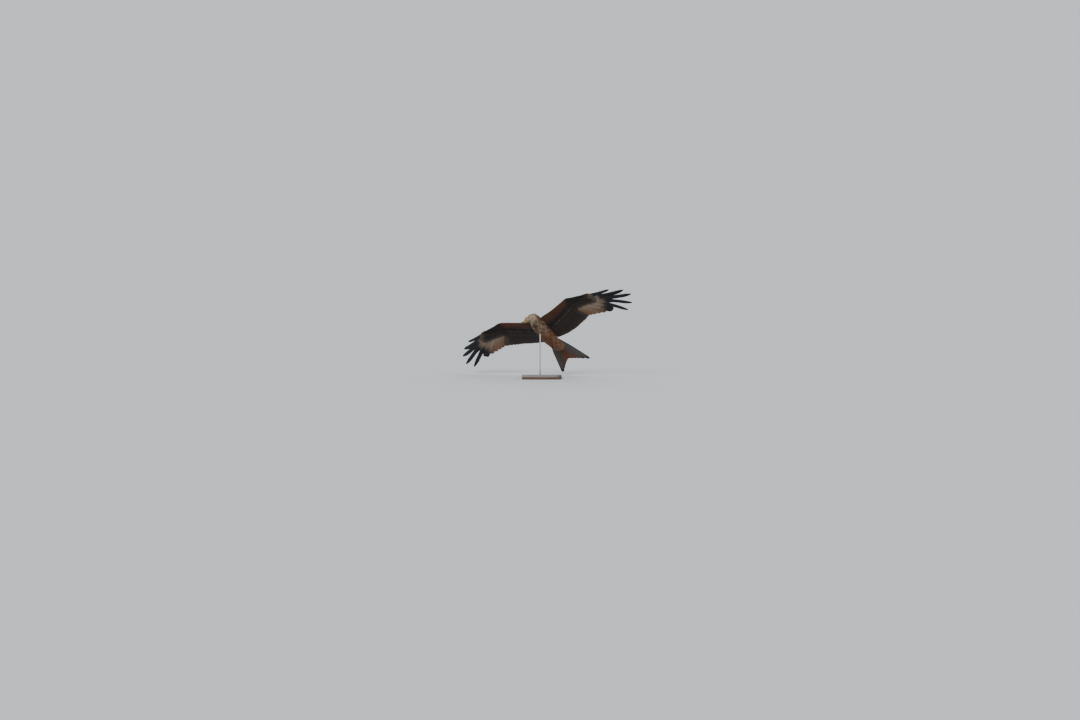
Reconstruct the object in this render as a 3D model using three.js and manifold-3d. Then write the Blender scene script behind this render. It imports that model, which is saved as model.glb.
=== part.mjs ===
// A red kite in gliding flight, life size, held on a plain display stand so that its underside shows.
// The bird is built in its own frame, in millimetres: +X to the front, +Y to its left, +Z to its back, with
// the origin midway between the shoulders. A turned group then sets it on the stand, whose frame has +Z up
// and its origin under the middle of the base.
import * as THREE from "three";
import { mergeVertices } from "three/addons/utils/BufferGeometryUtils.js";
import Module from "manifold-3d";

const wasm = await Module();
wasm.setup();

const { degToRad, lerp, smoothstep, clamp } = THREE.MathUtils;
const at = (x, y, z) => new THREE.Vector3(x, y, z);

// Driving dimensions
const WELD = 1e-3; // corners closer than this are one corner
const CUT = 0.3; // the gap left where the body is parted
const GROW = 0.35; // how far a piece keeps clear of the curved one that it grows from

// Flight attitude on the stand: the directions of the bird's own axes in the stand's frame
const FORWARD = at(-0.569, -0.5315, 0.6276);
const LEFTWARD = at(0.815, -0.4682, 0.3426);
const SHOULDERS = at(-13, -2, 412); // where the point midway between the shoulders is held

// Torso stations from the neck to the tail root: x, z of the middle, half width, height above, depth below
const TORSO = [
  [106, 0, 26, 26, 26],
  [84, -8, 41, 38, 40],
  [50, -17, 50, 45, 48],
  [10, -22, 54, 50, 52],
  [-40, -24, 54, 51, 53],
  [-90, -23, 50, 46, 49],
  [-135, -19, 45, 36, 41],
  [-175, -15, 40, 25, 31],
  [-212, -14, 33, 15, 20],
  [-244, -14, 20, 7, 9],
];
const NECK_FROM = 80; // the flat face between torso and neck, along x
const TAIL_FROM = -172; // the flat face between torso and tail, along x

// Neck path from inside the torso to inside the head, with its half width and half height on the way
const NECK_PATH = [at(58, 0, -15), at(84, -2, -13), at(104, -9, -18), at(117, -18, -25)];
const NECK_WIDTH = [46, 41, 35, 25];
const NECK_HEIGHT = [43, 37, 31, 24];
const NECK_END = at(104, -10, -18); // a point on the face between neck and head
const NECK_END_DIRECTION = at(0.86, -0.5, -0.12);

// Head, in its own frame: +x to the bill, +y to its left, +z to the crown, origin midway between the eyes
const HEAD_AT = at(113, -37, -33);
const HEAD_TURN = degToRad(-76); // to the bird's right
const HEAD_NOD = degToRad(17); // downwards
const HEAD = [
  [-48, -3, 13, 12, 12],
  [-40, -1, 21, 18, 19],
  [-27, 0, 24.5, 20.5, 21],
  [-12, 0, 24, 20.5, 20.5],
  [2, -1, 21.5, 19, 18.5],
  [14, -2.5, 16, 15, 15],
  [24, -4.5, 11, 10.5, 11.5],
  [30, -6, 7, 7, 7],
];
const EYE_AT = [3, 14.2, 2.5];
const EYE_RADIUS = 6.9;
const LID_RADIUS = 6.6;
const LID_THICK = 1.5;
const CERE = [
  [18, -4, 9, 8, 7],
  [24, -4, 8.9, 8, 6.6],
  [31, -4.5, 7.9, 7.6, 5.6],
  [34, -5, 7.2, 6.8, 5],
];
const UPPER_BILL = [
  [27, -5, 6.6, 6.6, 5.2],
  [33, -5, 6.9, 6.8, 5.4],
  [40, -7.5, 5.4, 6.2, 4],
  [44.6, -10.6, 3.8, 5.2, 3.2],
  [47.6, -14.4, 2.3, 3.4, 2.8],
  [48, -18.4, 0.8, 1.2, 1],
];
const LOWER_BILL = [
  [10, -14, 9, 3, 4],
  [20, -14.2, 8, 2.6, 3.8],
  [32, -14, 6, 2.2, 3],
  [41, -13.4, 3.2, 1.5, 1.8],
  [44.5, -12.8, 1.2, 0.7, 0.8],
];

// The bend of the wing, left side
const WRIST = at(114, 305, 38);

// Wing flesh stations, left side: y, then x and z of the leading edge, x and z of the rear edge, thickness
const WING_FLESH = [
  [30, 56, -10, -58, 0, 38],
  [80, 71, -6, -48, 12, 33],
  [130, 77, 2, -34, 22, 27],
  [180, 83, 17, -14, 30, 24],
  [230, 92, 32, 8, 34, 22],
  [275, 105, 40, 32, 36, 20],
  [305, 114, 41, 52, 37, 19],
  [340, 107, 42, 62, 36, 16],
  [380, 101, 39, 70, 34, 13],
  [420, 97, 34, 76, 32, 10],
  [448, 92, 32, 82, 31, 7],
];
// Feathers of the arm, from the body out: roots and tips on smooth curves
const ARM_FEATHERS = 17;
const ARM_ROOTS = [
  at(-46, 64, 8),
  at(-36, 114, 20),
  at(-18, 164, 28),
  at(8, 214, 33),
  at(40, 264, 36),
  at(66, 313, 36),
];
const ARM_TIPS = [
  at(-196, 53, 6),
  at(-208, 104, 20),
  at(-205, 160, 31),
  at(-189, 220, 35),
  at(-161, 279, 32),
  at(-135, 338, 24),
  at(-98, 391, 11),
];

// Feathers that close the wing against the flank, inside those of the arm and a little above them
const FLANK_FEATHERS = 2;
const FLANK_ROOTS = [at(-53, 40, 12), at(-50, 50, 11), at(-46, 62, 11.5)];
const FLANK_TIPS = [at(-168, 38, 6), at(-182, 46, 7.5), at(-192, 56, 9.5)];
const FLANK_WIDTHS = [11, 15];

// The ten primaries, innermost first: reach from the wrist, sweep back in degrees, height that the wing's
// surface heads for, and how far the free finger bends away from that
const PRIMARY_REACH = [243, 265, 292, 326, 374, 488, 520, 514, 458, 356];
const PRIMARY_SWEEP = [58.9, 53, 47.6, 42.4, 37.4, 32.6, 26.3, 21.8, 18.3, 12.7];
const PRIMARY_HEIGHT = [8, 6.5, 5.5, 5, 5.2, 4.4, 11, 19, 30, 43];
const FINGER_BEND = [0, 0, 0, 0, 0, -34, -16, 28, 37, 12];
const FIRST_FINGER = 5; // the sixth primary and those beyond it end in a narrow finger
const HAND_ROOTS = [
  at(70, 327, 36),
  at(74, 354, 35.5),
  at(78, 382, 34),
  at(83, 410, 32.5),
  at(87, 437, 31),
];

// Widths before and behind the shaft, and how far neighbours keep apart in height where they overlap
const FEATHER_THICK = 0.9;
const SHAFT_THICK = 1.4;
const TIER_STEP = 2;
const COVERT_LIFT = 5.6; // how far the coverts stand off the flight feathers under or over them
const ARM_WIDTHS = [10, 19];
const HAND_WIDTHS = [12, 30]; // of the innermost primary, the next ones being a little wider behind
const FINGER_WIDTHS = [13, 32];
const COVERT_WIDTHS = [11, 18];

// Feather outlines: how far along, then the parts of the full width before and behind the shaft
const ROUND_TIP = [
  [0, 0.7, 0.5],
  [0.45, 1, 1],
  [0.94, 0.95, 1],
  [1, 0.5, 0.55],
];
const fingerTip = (slot) => [
  [0, 0.7, 0.35],
  [slot * 0.65, 0.95, 0.9],
  [slot, 1, 0.95],
  [slot + 0.11, 0.82, 0.5],
  [0.89, 0.74, 0.42],
  [1, 0.2, 0.14],
];
const SLOT_FROM = [0.54, 0.41]; // where the slots begin along the sixth and the tenth primary
const COVERT_TIP = [
  [0, 0.8, 0.7],
  [0.7, 1, 1],
  [1, 0.35, 0.35],
];

// Tail fan: its root, the directions along and across it, and its twelve feathers
const TAIL_ROOT = at(-190, 0, -14);
const TAIL_BACK = at(-0.9994, -0.0286, -0.0151);
const TAIL_ACROSS = at(-0.029, 0.979, 0.202);
const TAIL_HALF_SPREAD = 14.8;
const TAIL_MIDDLE = -4.3; // degrees by which the middle pair lies to the right
const TAIL_LENGTH = [232, 242, 256, 273, 296, 324]; // middle pair first
const TAIL_ROOT_SPREAD = 37;
const TAIL_WIDTHS = [10, 19];
const TAIL_TIP = [
  [0, 0.5, 0.3],
  [0.35, 0.95, 0.85],
  [0.9, 1, 0.95],
  [1, 0.5, 0.2],
];
const TAIL_STEP = 1.5; // each pair lies this far below the pair inside it

// Legs, left side
const THIGH = [at(-58, 26, -42), at(-90, 28, -53), at(-122, 26, -56), at(-146, 24, -56.5)];
const THIGH_RADIUS = [20, 22, 17, 9];
const HEEL = at(-144, 24, -57.5);
const ANKLE = at(-196, 20.5, -46.5);
const SHANK_RADIUS = 4.6;
const SHANK_LINE = ANKLE.clone().sub(HEEL).normalize();
// Each toe: forward or back, degrees aside, how far it curls down, length
const TOES = [
  [1, 24, -7, 27],
  [1, 2, -8, 33],
  [1, -22, -7, 28],
  [-1, 8, -9, 19],
];

// Stand
const BASE_SIZE = [300, 230, 18];
const BASE_CORNER = 26;
const BASE_BEVEL = 3;
const ROD_AT = at(-12, -34, 0);
const ROD_RADIUS = 5;

// Materials
const finish = (colour, roughness, metalness = 0) =>
  new THREE.MeshStandardMaterial({ color: colour, roughness, metalness });
const BODY_FEATHER = finish(0x6b4c33, 0.85);
const HEAD_FEATHER = finish(0xa89880, 0.85);
const WING_FEATHER = finish(0x33251d, 0.75);
const FINGER_FEATHER = finish(0x1c191a, 0.7);
const TAIL_FEATHER = finish(0x8a4d2a, 0.75);
const BILL_HORN = finish(0x26221f, 0.4);
const YELLOW_SKIN = finish(0xd8a531, 0.55);
const EYE = finish(0xc9a24a, 0.1);
const CLAW = finish(0x1a1716, 0.35);
const WOOD = finish(0x4a3324, 0.5);
const STEEL = finish(0x9a9a98, 0.35, 1);

// A closed solid from a three.js geometry, turned face out
function solidOf(geometry) {
  const bare = new THREE.BufferGeometry();
  bare.setAttribute("position", geometry.getAttribute("position"));
  bare.setIndex(geometry.index);
  const merged = mergeVertices(bare, WELD);
  const corners = merged.attributes.position.array;
  const made = (index) =>
    new wasm.Manifold(
      new wasm.Mesh({ numProp: 3, vertProperties: corners, triVerts: new Uint32Array(index) }),
    );
  const index = Array.from(merged.index.array);
  const solid = made(index);
  return solid.volume() > 0 ? solid : made(index.reverse());
}

// The value of a list of stations at t from 0 to 1, on a smooth curve through them
function along(values, t) {
  const last = values.length - 1;
  const place = clamp(t, 0, 1) * last;
  const i = Math.min(Math.floor(place), last - 1);
  const f = place - i;
  const [a, b, c, d] = [-1, 0, 1, 2].map((k) => values[clamp(i + k, 0, last)]);
  return b + 0.5 * f * (c - a + f * (2 * a - 5 * b + 4 * c - d + f * (3 * (b - c) + d - a)));
}

// A closed body lofted through rings: ring(t) gives the ring's middle, and its half width, height and depth
// as vectors
function loft(ring, sides, rings) {
  const shape = new THREE.SphereGeometry(1, sides, rings);
  const corner = shape.getAttribute("position");
  for (let i = 0; i < corner.count; i++) {
    const [x, y, z] = [corner.getX(i), corner.getY(i), corner.getZ(i)];
    const { middle, across, up, down } = ring(Math.acos(clamp(y, -1, 1)) / Math.PI);
    const place = middle.clone();
    const round = Math.hypot(x, z);
    if (round > WELD) {
      place.addScaledVector(across, x / round);
      place.addScaledVector(z > 0 ? up : down, Math.abs(z) / round);
    }
    corner.setXYZ(i, place.x, place.y, place.z);
  }
  return solidOf(shape);
}

// A body along x from stations of x, z, half width, height and depth, grown all round by grow
function bodyOf(stations, sides, rings, grow = 0) {
  return loft(
    (t) => {
      const [x, z, width, height, depth] = [0, 1, 2, 3, 4].map((k) =>
        along(stations.map((s) => s[k]), t),
      );
      return {
        middle: at(x, 0, z),
        across: at(0, width + grow, 0),
        up: at(0, 0, height + grow),
        down: at(0, 0, -depth - grow),
      };
    },
    sides,
    rings,
  );
}

// A round limb along a path, with its half width and half height at each point of the path
function limb(path, width, height, sides, rings, grow = 0) {
  const curve = new THREE.CatmullRomCurve3(path);
  return loft(
    (t) => {
      const tangent = curve.getTangent(t);
      const across = at(0, 1, 0).addScaledVector(tangent, -tangent.y).normalize();
      const up = across.clone().cross(tangent).normalize();
      if (up.z < 0) up.negate();
      return {
        middle: curve.getPoint(t),
        across: across.multiplyScalar(along(width, t) + grow),
        up: up.clone().multiplyScalar(along(height, t) + grow),
        down: up.clone().multiplyScalar(-along(height, t) - grow),
      };
    },
    sides,
    rings,
  );
}

// Everything on the side of a plane that its normal points to
function halfSpace(point, normal, gap) {
  const reach = 2400;
  const box = new THREE.BoxGeometry(reach, reach, reach);
  box.translate(0, 0, reach / 2 + gap);
  box.applyQuaternion(new THREE.Quaternion().setFromUnitVectors(at(0, 0, 1), normal.clone().normalize()));
  box.translate(point.x, point.y, point.z);
  return solidOf(box);
}
const ahead = (solid, point, normal) => solid.intersect(halfSpace(point, normal, CUT / 2));
const behind = (solid, point, normal) => solid.intersect(halfSpace(point, normal.clone().negate(), CUT / 2));

const joined = (solids) => solids.reduce((all, one) => all.add(one));

// The largest closed surface of a solid, without loose scraps or sealed hollows
const largest = (solid) => solid.decompose().sort((a, b) => b.volume() - a.volume())[0];

// A thin plate through a grid of points, split alike on both faces: place(i, j) gives a point, thick(i, j)
// its thickness and normal(i, j) the direction of that
function plate(rows, columns, place, normal, thick) {
  const corners = [];
  for (const side of [1, -1])
    for (let i = 0; i <= rows; i++)
      for (let j = 0; j <= columns; j++)
        corners.push(...place(i, j).addScaledVector(normal(i, j), (side * thick(i, j)) / 2).toArray());
  const face = (rows + 1) * (columns + 1);
  const id = (i, j, low) => i * (columns + 1) + j + (low ? face : 0);
  const index = [];
  for (let i = 0; i < rows; i++)
    for (let j = 0; j < columns; j++) {
      index.push(id(i, j), id(i + 1, j), id(i + 1, j + 1), id(i, j), id(i + 1, j + 1), id(i, j + 1));
      index.push(id(i, j, 1), id(i + 1, j + 1, 1), id(i + 1, j, 1));
      index.push(id(i, j, 1), id(i, j + 1, 1), id(i + 1, j + 1, 1));
    }
  const wall = (a, b) => index.push(id(...a), id(...b), id(...b, 1), id(...a), id(...b, 1), id(...a, 1));
  for (let i = 0; i < rows; i++) {
    wall([i + 1, 0], [i, 0]);
    wall([i, columns], [i + 1, columns]);
  }
  for (let j = 0; j < columns; j++) {
    wall([0, j], [0, j + 1]);
    wall([rows, j + 1], [rows, j]);
  }
  const shape = new THREE.BufferGeometry();
  shape.setAttribute("position", new THREE.Float32BufferAttribute(corners, 3));
  shape.setIndex(index);
  return solidOf(shape);
}

// The same solid on the bird's other side
function mirrored(solid) {
  return solid.mirror([0, 1, 0]);
}

// Torso, neck and tail root are one smooth body that is parted by flat cuts
const torsoBody = (grow = 0) => bodyOf(TORSO, 24, 18, grow);
const neckBody = limb(NECK_PATH, NECK_WIDTH, NECK_HEIGHT, 20, 9);

const headTurn = new THREE.Matrix4()
  .makeTranslation(HEAD_AT)
  .multiply(new THREE.Matrix4().makeRotationZ(HEAD_TURN))
  .multiply(new THREE.Matrix4().makeRotationY(HEAD_NOD));
const inHead = (solid) => solid.transform(headTurn.elements);

// A round ball, stretched along each axis
function ball(place, radii, sides = 16) {
  const shape = new THREE.SphereGeometry(1, sides, Math.round(sides * 0.6));
  shape.rotateX(Math.PI / 2);
  shape.scale(...radii);
  shape.translate(...place);
  return solidOf(shape);
}

function headParts() {
  const sides = [1, -1];
  const place = (side) => [EYE_AT[0], side * EYE_AT[1], EYE_AT[2]];
  let skull = bodyOf(HEAD, 18, 12);
  for (const side of sides) {
    const lid = new THREE.TorusGeometry(LID_RADIUS, LID_THICK, 5, 12);
    lid.rotateX(Math.PI / 2);
    lid.rotateZ(side * degToRad(-14));
    lid.translate(EYE_AT[0] + 0.8, side * (EYE_AT[1] + 4.6), EYE_AT[2]);
    skull = skull.add(solidOf(lid));
    const brow = ball([3, side * 15.6, 9.6], [11, 4.4, 2.6], 10);
    skull = skull.add(brow);
  }
  const cereBody = bodyOf(CERE, 16, 6);
  const upperBody = bodyOf(UPPER_BILL, 14, 11);
  const lowerBody = bodyOf(LOWER_BILL, 12, 8);
  const mouthLine = new THREE.BoxGeometry(60, 60, 0.8);
  mouthLine.translate(31, 0, -10.9);
  const mouthCut = solidOf(mouthLine);
  const socket = [1, 1, 1].map(() => EYE_RADIUS + CUT);
  for (const side of sides) skull = skull.subtract(ball(place(side), socket, 12));
  let cere = cereBody;
  for (const side of sides) cere = cere.subtract(ball([27.5, side * 8.2, -2.6], [2.3, 1.7, 1.2], 10));
  const face = at(25, 0, 0);
  const faceward = at(1, 0, 0);
  const cereFront = at(31, 0, 0);
  const overCut = halfSpace(at(0, 0, -10.9), at(0, 0, 1), 0.25);
  const underCut = halfSpace(at(0, 0, -10.9), at(0, 0, -1), 0.25);
  cere = behind(ahead(cere, at(21, 0, 0), faceward), cereFront, faceward).intersect(overCut);
  const jawSide = halfSpace(at(0, 0, -10.9), at(0, 0, -1), -0.25);
  const jawRoom = bodyOf(LOWER_BILL, 12, 8, CUT).intersect(jawSide);
  const upper = ahead(upperBody, cereFront, faceward).subtract(jawRoom);
  const lower = ahead(lowerBody, at(21, 0, 0), faceward).intersect(underCut);
  const mouthRoom = mouthCut.intersect(halfSpace(at(4, 0, 0), faceward, 0));
  skull = behind(skull, at(21, 0, 0), faceward).subtract(mouthRoom);
  return {
    skull,
    cere: largest(cere),
    beak_upper: largest(upper),
    beak_lower: largest(lower),
    eyes: sides.map((side) => ball(place(side), [1, 1, 1].map(() => EYE_RADIUS), 12)),
  };
}
const headPieces = headParts();

// Wing flesh: an arched section between the leading and rear edges at each station out from the body
function wingFlesh() {
  return loft(
    (t) => {
      const [y, frontX, frontZ, rearX, rearZ, thick] = [0, 1, 2, 3, 4, 5].map((k) =>
        along(WING_FLESH.map((s) => s[k]), t),
      );
      const chord = at(frontX - rearX, 0, frontZ - rearZ);
      const up = at(-chord.z, 0, chord.x).normalize();
      return {
        middle: at((frontX + rearX) / 2, y, (frontZ + rearZ) / 2),
        across: chord.multiplyScalar(0.5),
        up: up.clone().multiplyScalar(thick * 0.62),
        down: up.clone().multiplyScalar(-thick * 0.38),
      };
    },
    14,
    15,
  );
}

// One feather: a thin vane with a thicker shaft line. place(p, side, s) gives the point beside the shaft at s
function feather(outline, widths, thick, place, up) {
  const [lead, trail] = widths;
  const plain = outline.length < 4;
  const sides = plain ? [1, -1] : [1, 0, -1];
  return plate(
    outline.length - 1,
    sides.length - 1,
    (i, j) => {
      const [s, front, back] = outline[i];
      const reach = sides[j] > 0 ? lead * front : trail * back;
      return place(s, sides[j] * reach);
    },
    () => up,
    (i, j) => (sides[j] === 0 ? lerp(thick + SHAFT_THICK - FEATHER_THICK, thick, outline[i][0]) : thick),
  );
}

// Seeded draw, the same each time
function draws(seed) {
  let state = seed;
  return () => {
    state = (state * 16807) % 2147483647;
    return state / 2147483647;
  };
}

const curveOf = (points) => (t) => at(...["x", "y", "z"].map((axis) => along(points.map((p) => p[axis]), t)));
const handTips = curveOf(
  PRIMARY_REACH.map((reach, k) => {
    const sweep = degToRad(PRIMARY_SWEEP[k]);
    return at(WRIST.x - reach * Math.sin(sweep), WRIST.y + reach * Math.cos(sweep), PRIMARY_HEIGHT[k]);
  }),
);
const ARM = [curveOf(ARM_ROOTS), curveOf(ARM_TIPS)];
const HAND = [curveOf(HAND_ROOTS), handTips];
const FLANK = [curveOf(FLANK_ROOTS), curveOf(FLANK_TIPS)];

// A row of feathers on the ruled surface between a curve of roots and a curve of tips. Each one is tilted,
// its front edge the higher one, so that it passes over the one outside it
function wingRow(count, [roots, tips], { from = 0, to = 1, lift = 0 }, kindOf) {
  const draw = draws(count * 7919);
  const surface = (t, s) => roots(clamp(t, 0, 1)).lerp(tips(clamp(t, 0, 1)), s);
  return Array.from({ length: count }, (_, k) => {
    const t = k / (count - 1);
    const { outline, widths, slot = 1, bend = 0 } = kindOf(k, t);
    const end = (typeof to === "number" ? to : lerp(...to, t)) * (1 + (draw() - 0.5) * 0.02);
    const shaft = tips(t).sub(roots(t)).normalize();
    const place = (s, aside) => {
      const line = lerp(from, end, s);
      const across = surface(t + 0.02, line).sub(surface(t - 0.02, line));
      across.addScaledVector(shaft, -across.dot(shaft)).normalize();
      const [low, high] = [Math.max(0, t - 1 / (count - 1)), Math.min(1, t + 1 / (count - 1))];
      const spread = surface(high, line).sub(surface(low, line)).dot(across) / (high - low);
      const gap = spread / (count - 1);
      const height = (TIER_STEP / gap) * aside + lift * lerp(0.3, 1, smoothstep(s, 0, 0.5));
      const free = Math.max(0, (s - slot) / (1.0001 - slot)) ** 1.5 * bend;
      return surface(t, line).addScaledVector(across, aside).add(at(0, 0, height + free));
    };
    return feather(outline, widths, FEATHER_THICK, place, at(0, 0, 1));
  });
}
const coverts = () => ({ outline: COVERT_TIP, widths: COVERT_WIDTHS });

// The arm's feathers: those of the arm and of the flank, then a row of coverts above and one below
const armFeathers = () => [
  ...wingRow(ARM_FEATHERS, ARM, {}, () => ({ outline: ROUND_TIP, widths: ARM_WIDTHS })),
  ...wingRow(FLANK_FEATHERS, FLANK, {}, () => ({ outline: ROUND_TIP, widths: FLANK_WIDTHS })),
  ...wingRow(10, ARM, { from: -0.02, to: 0.46, lift: COVERT_LIFT }, coverts),
  ...wingRow(10, ARM, { from: -0.02, to: 0.44, lift: -COVERT_LIFT }, coverts),
];

// The hand's feathers: ten primaries, then a row of coverts above and one below
function handFeathers() {
  const primary = (k) => {
    const [lead, trail] = HAND_WIDTHS;
    if (k < FIRST_FINGER) return { outline: ROUND_TIP, widths: [lead, trail + 2 * k] };
    const slot = lerp(...SLOT_FROM, (k - FIRST_FINGER) / 4);
    const widths = FINGER_WIDTHS.map((w) => w * (k === 9 ? 0.72 : 1));
    return { outline: fingerTip(slot), widths, slot, bend: FINGER_BEND[k] };
  };
  return [
    ...wingRow(10, HAND, {}, primary),
    ...wingRow(7, HAND, { from: -0.01, to: [0.44, 0.3], lift: COVERT_LIFT }, coverts),
    ...wingRow(6, HAND, { from: -0.01, to: [0.44, 0.3], lift: -COVERT_LIFT }, coverts),
  ];
}

// The wing is parted at the wrist, along the line between the innermost primary and the outermost secondary
const WING_CUT_AT = at(96, 306, 38);
const WING_CUT_DIRECTION = at(95, 195, 0);
const torsoClear = torsoBody(GROW);
const wingInner = largest(
  behind(joined([wingFlesh(), ...armFeathers()]), WING_CUT_AT, WING_CUT_DIRECTION).subtract(torsoClear),
);
const wingOuter = largest(ahead(joined([wingFlesh(), ...handFeathers()]), WING_CUT_AT, WING_CUT_DIRECTION));

// Tail fan: twelve feathers, the middle pair on top and each pair beyond it a step lower, with coverts over
// the roots
function tailFeathers() {
  const up = TAIL_BACK.clone().cross(TAIL_ACROSS).negate().normalize();
  const one = (angle, length, across, level, outline, widths) => {
    const turn = degToRad(angle);
    const [c, n] = [Math.cos(turn), Math.sin(turn)];
    const place = (s, aside) =>
      TAIL_ROOT.clone()
        .addScaledVector(TAIL_ACROSS, across + n * length * s + c * aside)
        .addScaledVector(TAIL_BACK, c * length * s - n * aside)
        .addScaledVector(up, level);
    return feather(outline, widths, FEATHER_THICK, place, up);
  };
  const made = [];
  for (const side of [1, -1])
    for (let k = 0; k < 6; k++) {
      const f = k / 5;
      const angle = lerp(TAIL_MIDDLE + side * 1.8, side * TAIL_HALF_SPREAD, f);
      const across = side * lerp(4, TAIL_ROOT_SPREAD, f);
      const level = TAIL_STEP * (k === 0 && side > 0 ? 3 : 2 - k);
      const widths = side > 0 ? TAIL_WIDTHS : [TAIL_WIDTHS[1], TAIL_WIDTHS[0]];
      const outline = side > 0 ? TAIL_TIP : TAIL_TIP.map(([s, a, b]) => [s, b, a]);
      made.push(one(angle, TAIL_LENGTH[k], across, level, outline, widths));
    }
  for (const [count, level, length] of [[7, 6.4, 96], [7, -6.4, 118]])
    for (let k = 0; k < count; k++) {
      const f = (2 * k) / (count - 1) - 1;
      const reach = length * (1 - 0.22 * f * f);
      made.push(
        one(
          TAIL_MIDDLE + f * 15,
          reach,
          f * 27,
          level + (k % 2) * Math.sign(level) * 1.5,
          COVERT_TIP,
          [11, 11],
        ),
      );
    }
  return made;
}
const trunk = torsoBody();
const frontward = at(1, 0, 0);
const tailWhole = behind(trunk, at(TAIL_FROM, 0, 0), frontward).add(
  behind(joined(tailFeathers()), at(TAIL_FROM, 0, 0), frontward),
);
// The tail is parted down its middle, so that the fork lies between two nodes
const tailUp = TAIL_BACK.clone().cross(TAIL_ACROSS).normalize();
const tailAside = TAIL_ACROSS.clone().applyAxisAngle(tailUp, degToRad(TAIL_MIDDLE));
const torsoNode = ahead(behind(trunk, at(NECK_FROM, 0, 0), frontward), at(TAIL_FROM, 0, 0), frontward);

const skullInBird = inHead(headPieces.skull);
const frontWhole = neckBody.add(skullInBird);
const neckNode = largest(
  behind(ahead(neckBody, at(NECK_FROM, 0, 0), frontward), NECK_END, NECK_END_DIRECTION),
);
const headNode = largest(ahead(frontWhole, NECK_END, NECK_END_DIRECTION));

// Legs
function legParts() {
  const thighBody = (grow) => limb(THIGH, THIGH_RADIUS, THIGH_RADIUS, 14, 10, grow);
  const thigh = largest(thighBody(0).subtract(torsoClear));
  const shankPath = [HEEL.clone().lerp(ANKLE, -0.05), HEEL.clone().lerp(ANKLE, 0.5), ANKLE];
  const shankWidth = [SHANK_RADIUS + 0.6, SHANK_RADIUS - 0.8, SHANK_RADIUS];
  const shankBody = (grow) => limb(shankPath, shankWidth, shankWidth, 10, 8, grow);
  const shank = largest(shankBody(0).subtract(thighBody(GROW)));
  const heel = ANKLE.clone().addScaledVector(SHANK_LINE, 1.5);
  const toeBody = (reach, aside, curl, length, grow) => {
    const out = SHANK_LINE.clone().applyAxisAngle(at(0, 0, 1), degToRad(aside));
    const path = [0, 0.4, 0.75, 1].map((f) =>
      heel
        .clone()
        .addScaledVector(out, reach * f * length)
        .add(at(0, 0, curl * f * f)),
    );
    return limb(path, [4, 3.6, 3.2, 2.4], [3.6, 3.4, 3, 2.4], 6, 4, grow);
  };
  const toes = TOES.map(([reach, aside, curl, length]) => toeBody(reach, aside, curl, length, 0));
  const palm = ball(heel.toArray(), [6.2, 5.6, 4.8], 8);
  const foot = joined([palm, ...toes]);
  const clear = limb(shankPath, shankWidth, shankWidth, 10, 8, GROW);
  const claws = TOES.map(([reach, aside, curl, length]) => {
    const out = SHANK_LINE.clone().applyAxisAngle(at(0, 0, 1), degToRad(aside)).multiplyScalar(reach);
    const from = heel.clone().addScaledVector(out, length).add(at(0, 0, curl));
    const path = [
      from.clone().addScaledVector(out, -2),
      from.clone().addScaledVector(out, 5).add(at(0, 0, -1)),
      from.clone().addScaledVector(out, 9).add(at(0, 0, -5.5)),
      from.clone().addScaledVector(out, 9.5).add(at(0, 0, -10)),
    ];
    return limb(path, [2.4, 2, 1.2, 0.4], [2.4, 2, 1.2, 0.4], 6, 5);
  });
  const toesClear = TOES.map(([reach, aside, curl, length]) => toeBody(reach, aside, curl, length, GROW));
  const footClear = joined([palm, ...toesClear]);
  return {
    thigh,
    shank,
    foot: largest(foot.subtract(clear)),
    claws: claws.map((claw) => largest(claw.subtract(footClear))),
  };
}
const leg = legParts();

// Stand
function roundedBase() {
  const [length, width, height] = BASE_SIZE;
  const [x, y] = [length / 2 - BASE_BEVEL, width / 2 - BASE_BEVEL];
  const outline = new THREE.Shape();
  outline.moveTo(-x + BASE_CORNER, -y);
  outline.lineTo(x - BASE_CORNER, -y);
  outline.absarc(x - BASE_CORNER, -y + BASE_CORNER, BASE_CORNER, -Math.PI / 2, 0, false);
  outline.lineTo(x, y - BASE_CORNER);
  outline.absarc(x - BASE_CORNER, y - BASE_CORNER, BASE_CORNER, 0, Math.PI / 2, false);
  outline.lineTo(-x + BASE_CORNER, y);
  outline.absarc(-x + BASE_CORNER, y - BASE_CORNER, BASE_CORNER, Math.PI / 2, Math.PI, false);
  outline.lineTo(-x, -y + BASE_CORNER);
  outline.absarc(-x + BASE_CORNER, -y + BASE_CORNER, BASE_CORNER, Math.PI, Math.PI * 1.5, false);
  const slab = new THREE.ExtrudeGeometry(outline, {
    depth: height - 2 * BASE_BEVEL,
    bevelEnabled: true,
    bevelThickness: BASE_BEVEL,
    bevelSize: BASE_BEVEL,
    bevelSegments: 1,
    curveSegments: 5,
  });
  slab.translate(0, 0, BASE_BEVEL);
  return solidOf(slab);
}

function upright(radius, from, to, sides) {
  const post = new THREE.CylinderGeometry(radius, radius, to - from, sides);
  post.rotateX(Math.PI / 2);
  post.translate(ROD_AT.x, ROD_AT.y, (from + to) / 2);
  return solidOf(post);
}

// The scene graph
const UPWARD = FORWARD.clone().cross(LEFTWARD);
const axes = [FORWARD, LEFTWARD, UPWARD].map((axis) => axis.clone().normalize());
const attitude = new THREE.Matrix4().makeBasis(...axes);
const bird = new THREE.Group();
bird.quaternion.setFromRotationMatrix(attitude);
bird.position.copy(SHOULDERS);
bird.updateMatrix();

function geometryOf(solid) {
  const mesh = solid.getMesh();
  const corners = [];
  for (let i = 0; i < mesh.numVert; i++) {
    const from = i * mesh.numProp;
    corners.push(...mesh.vertProperties.slice(from, from + 3));
  }
  const shape = new THREE.BufferGeometry();
  shape.setAttribute("position", new THREE.Float32BufferAttribute(corners, 3));
  shape.setIndex(Array.from(mesh.triVerts));
  shape.computeVertexNormals();
  return shape;
}

function addNode(group, name, solid, material) {
  const mesh = new THREE.Mesh(geometryOf(solid), material);
  mesh.name = name;
  group.add(mesh);
}

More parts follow.
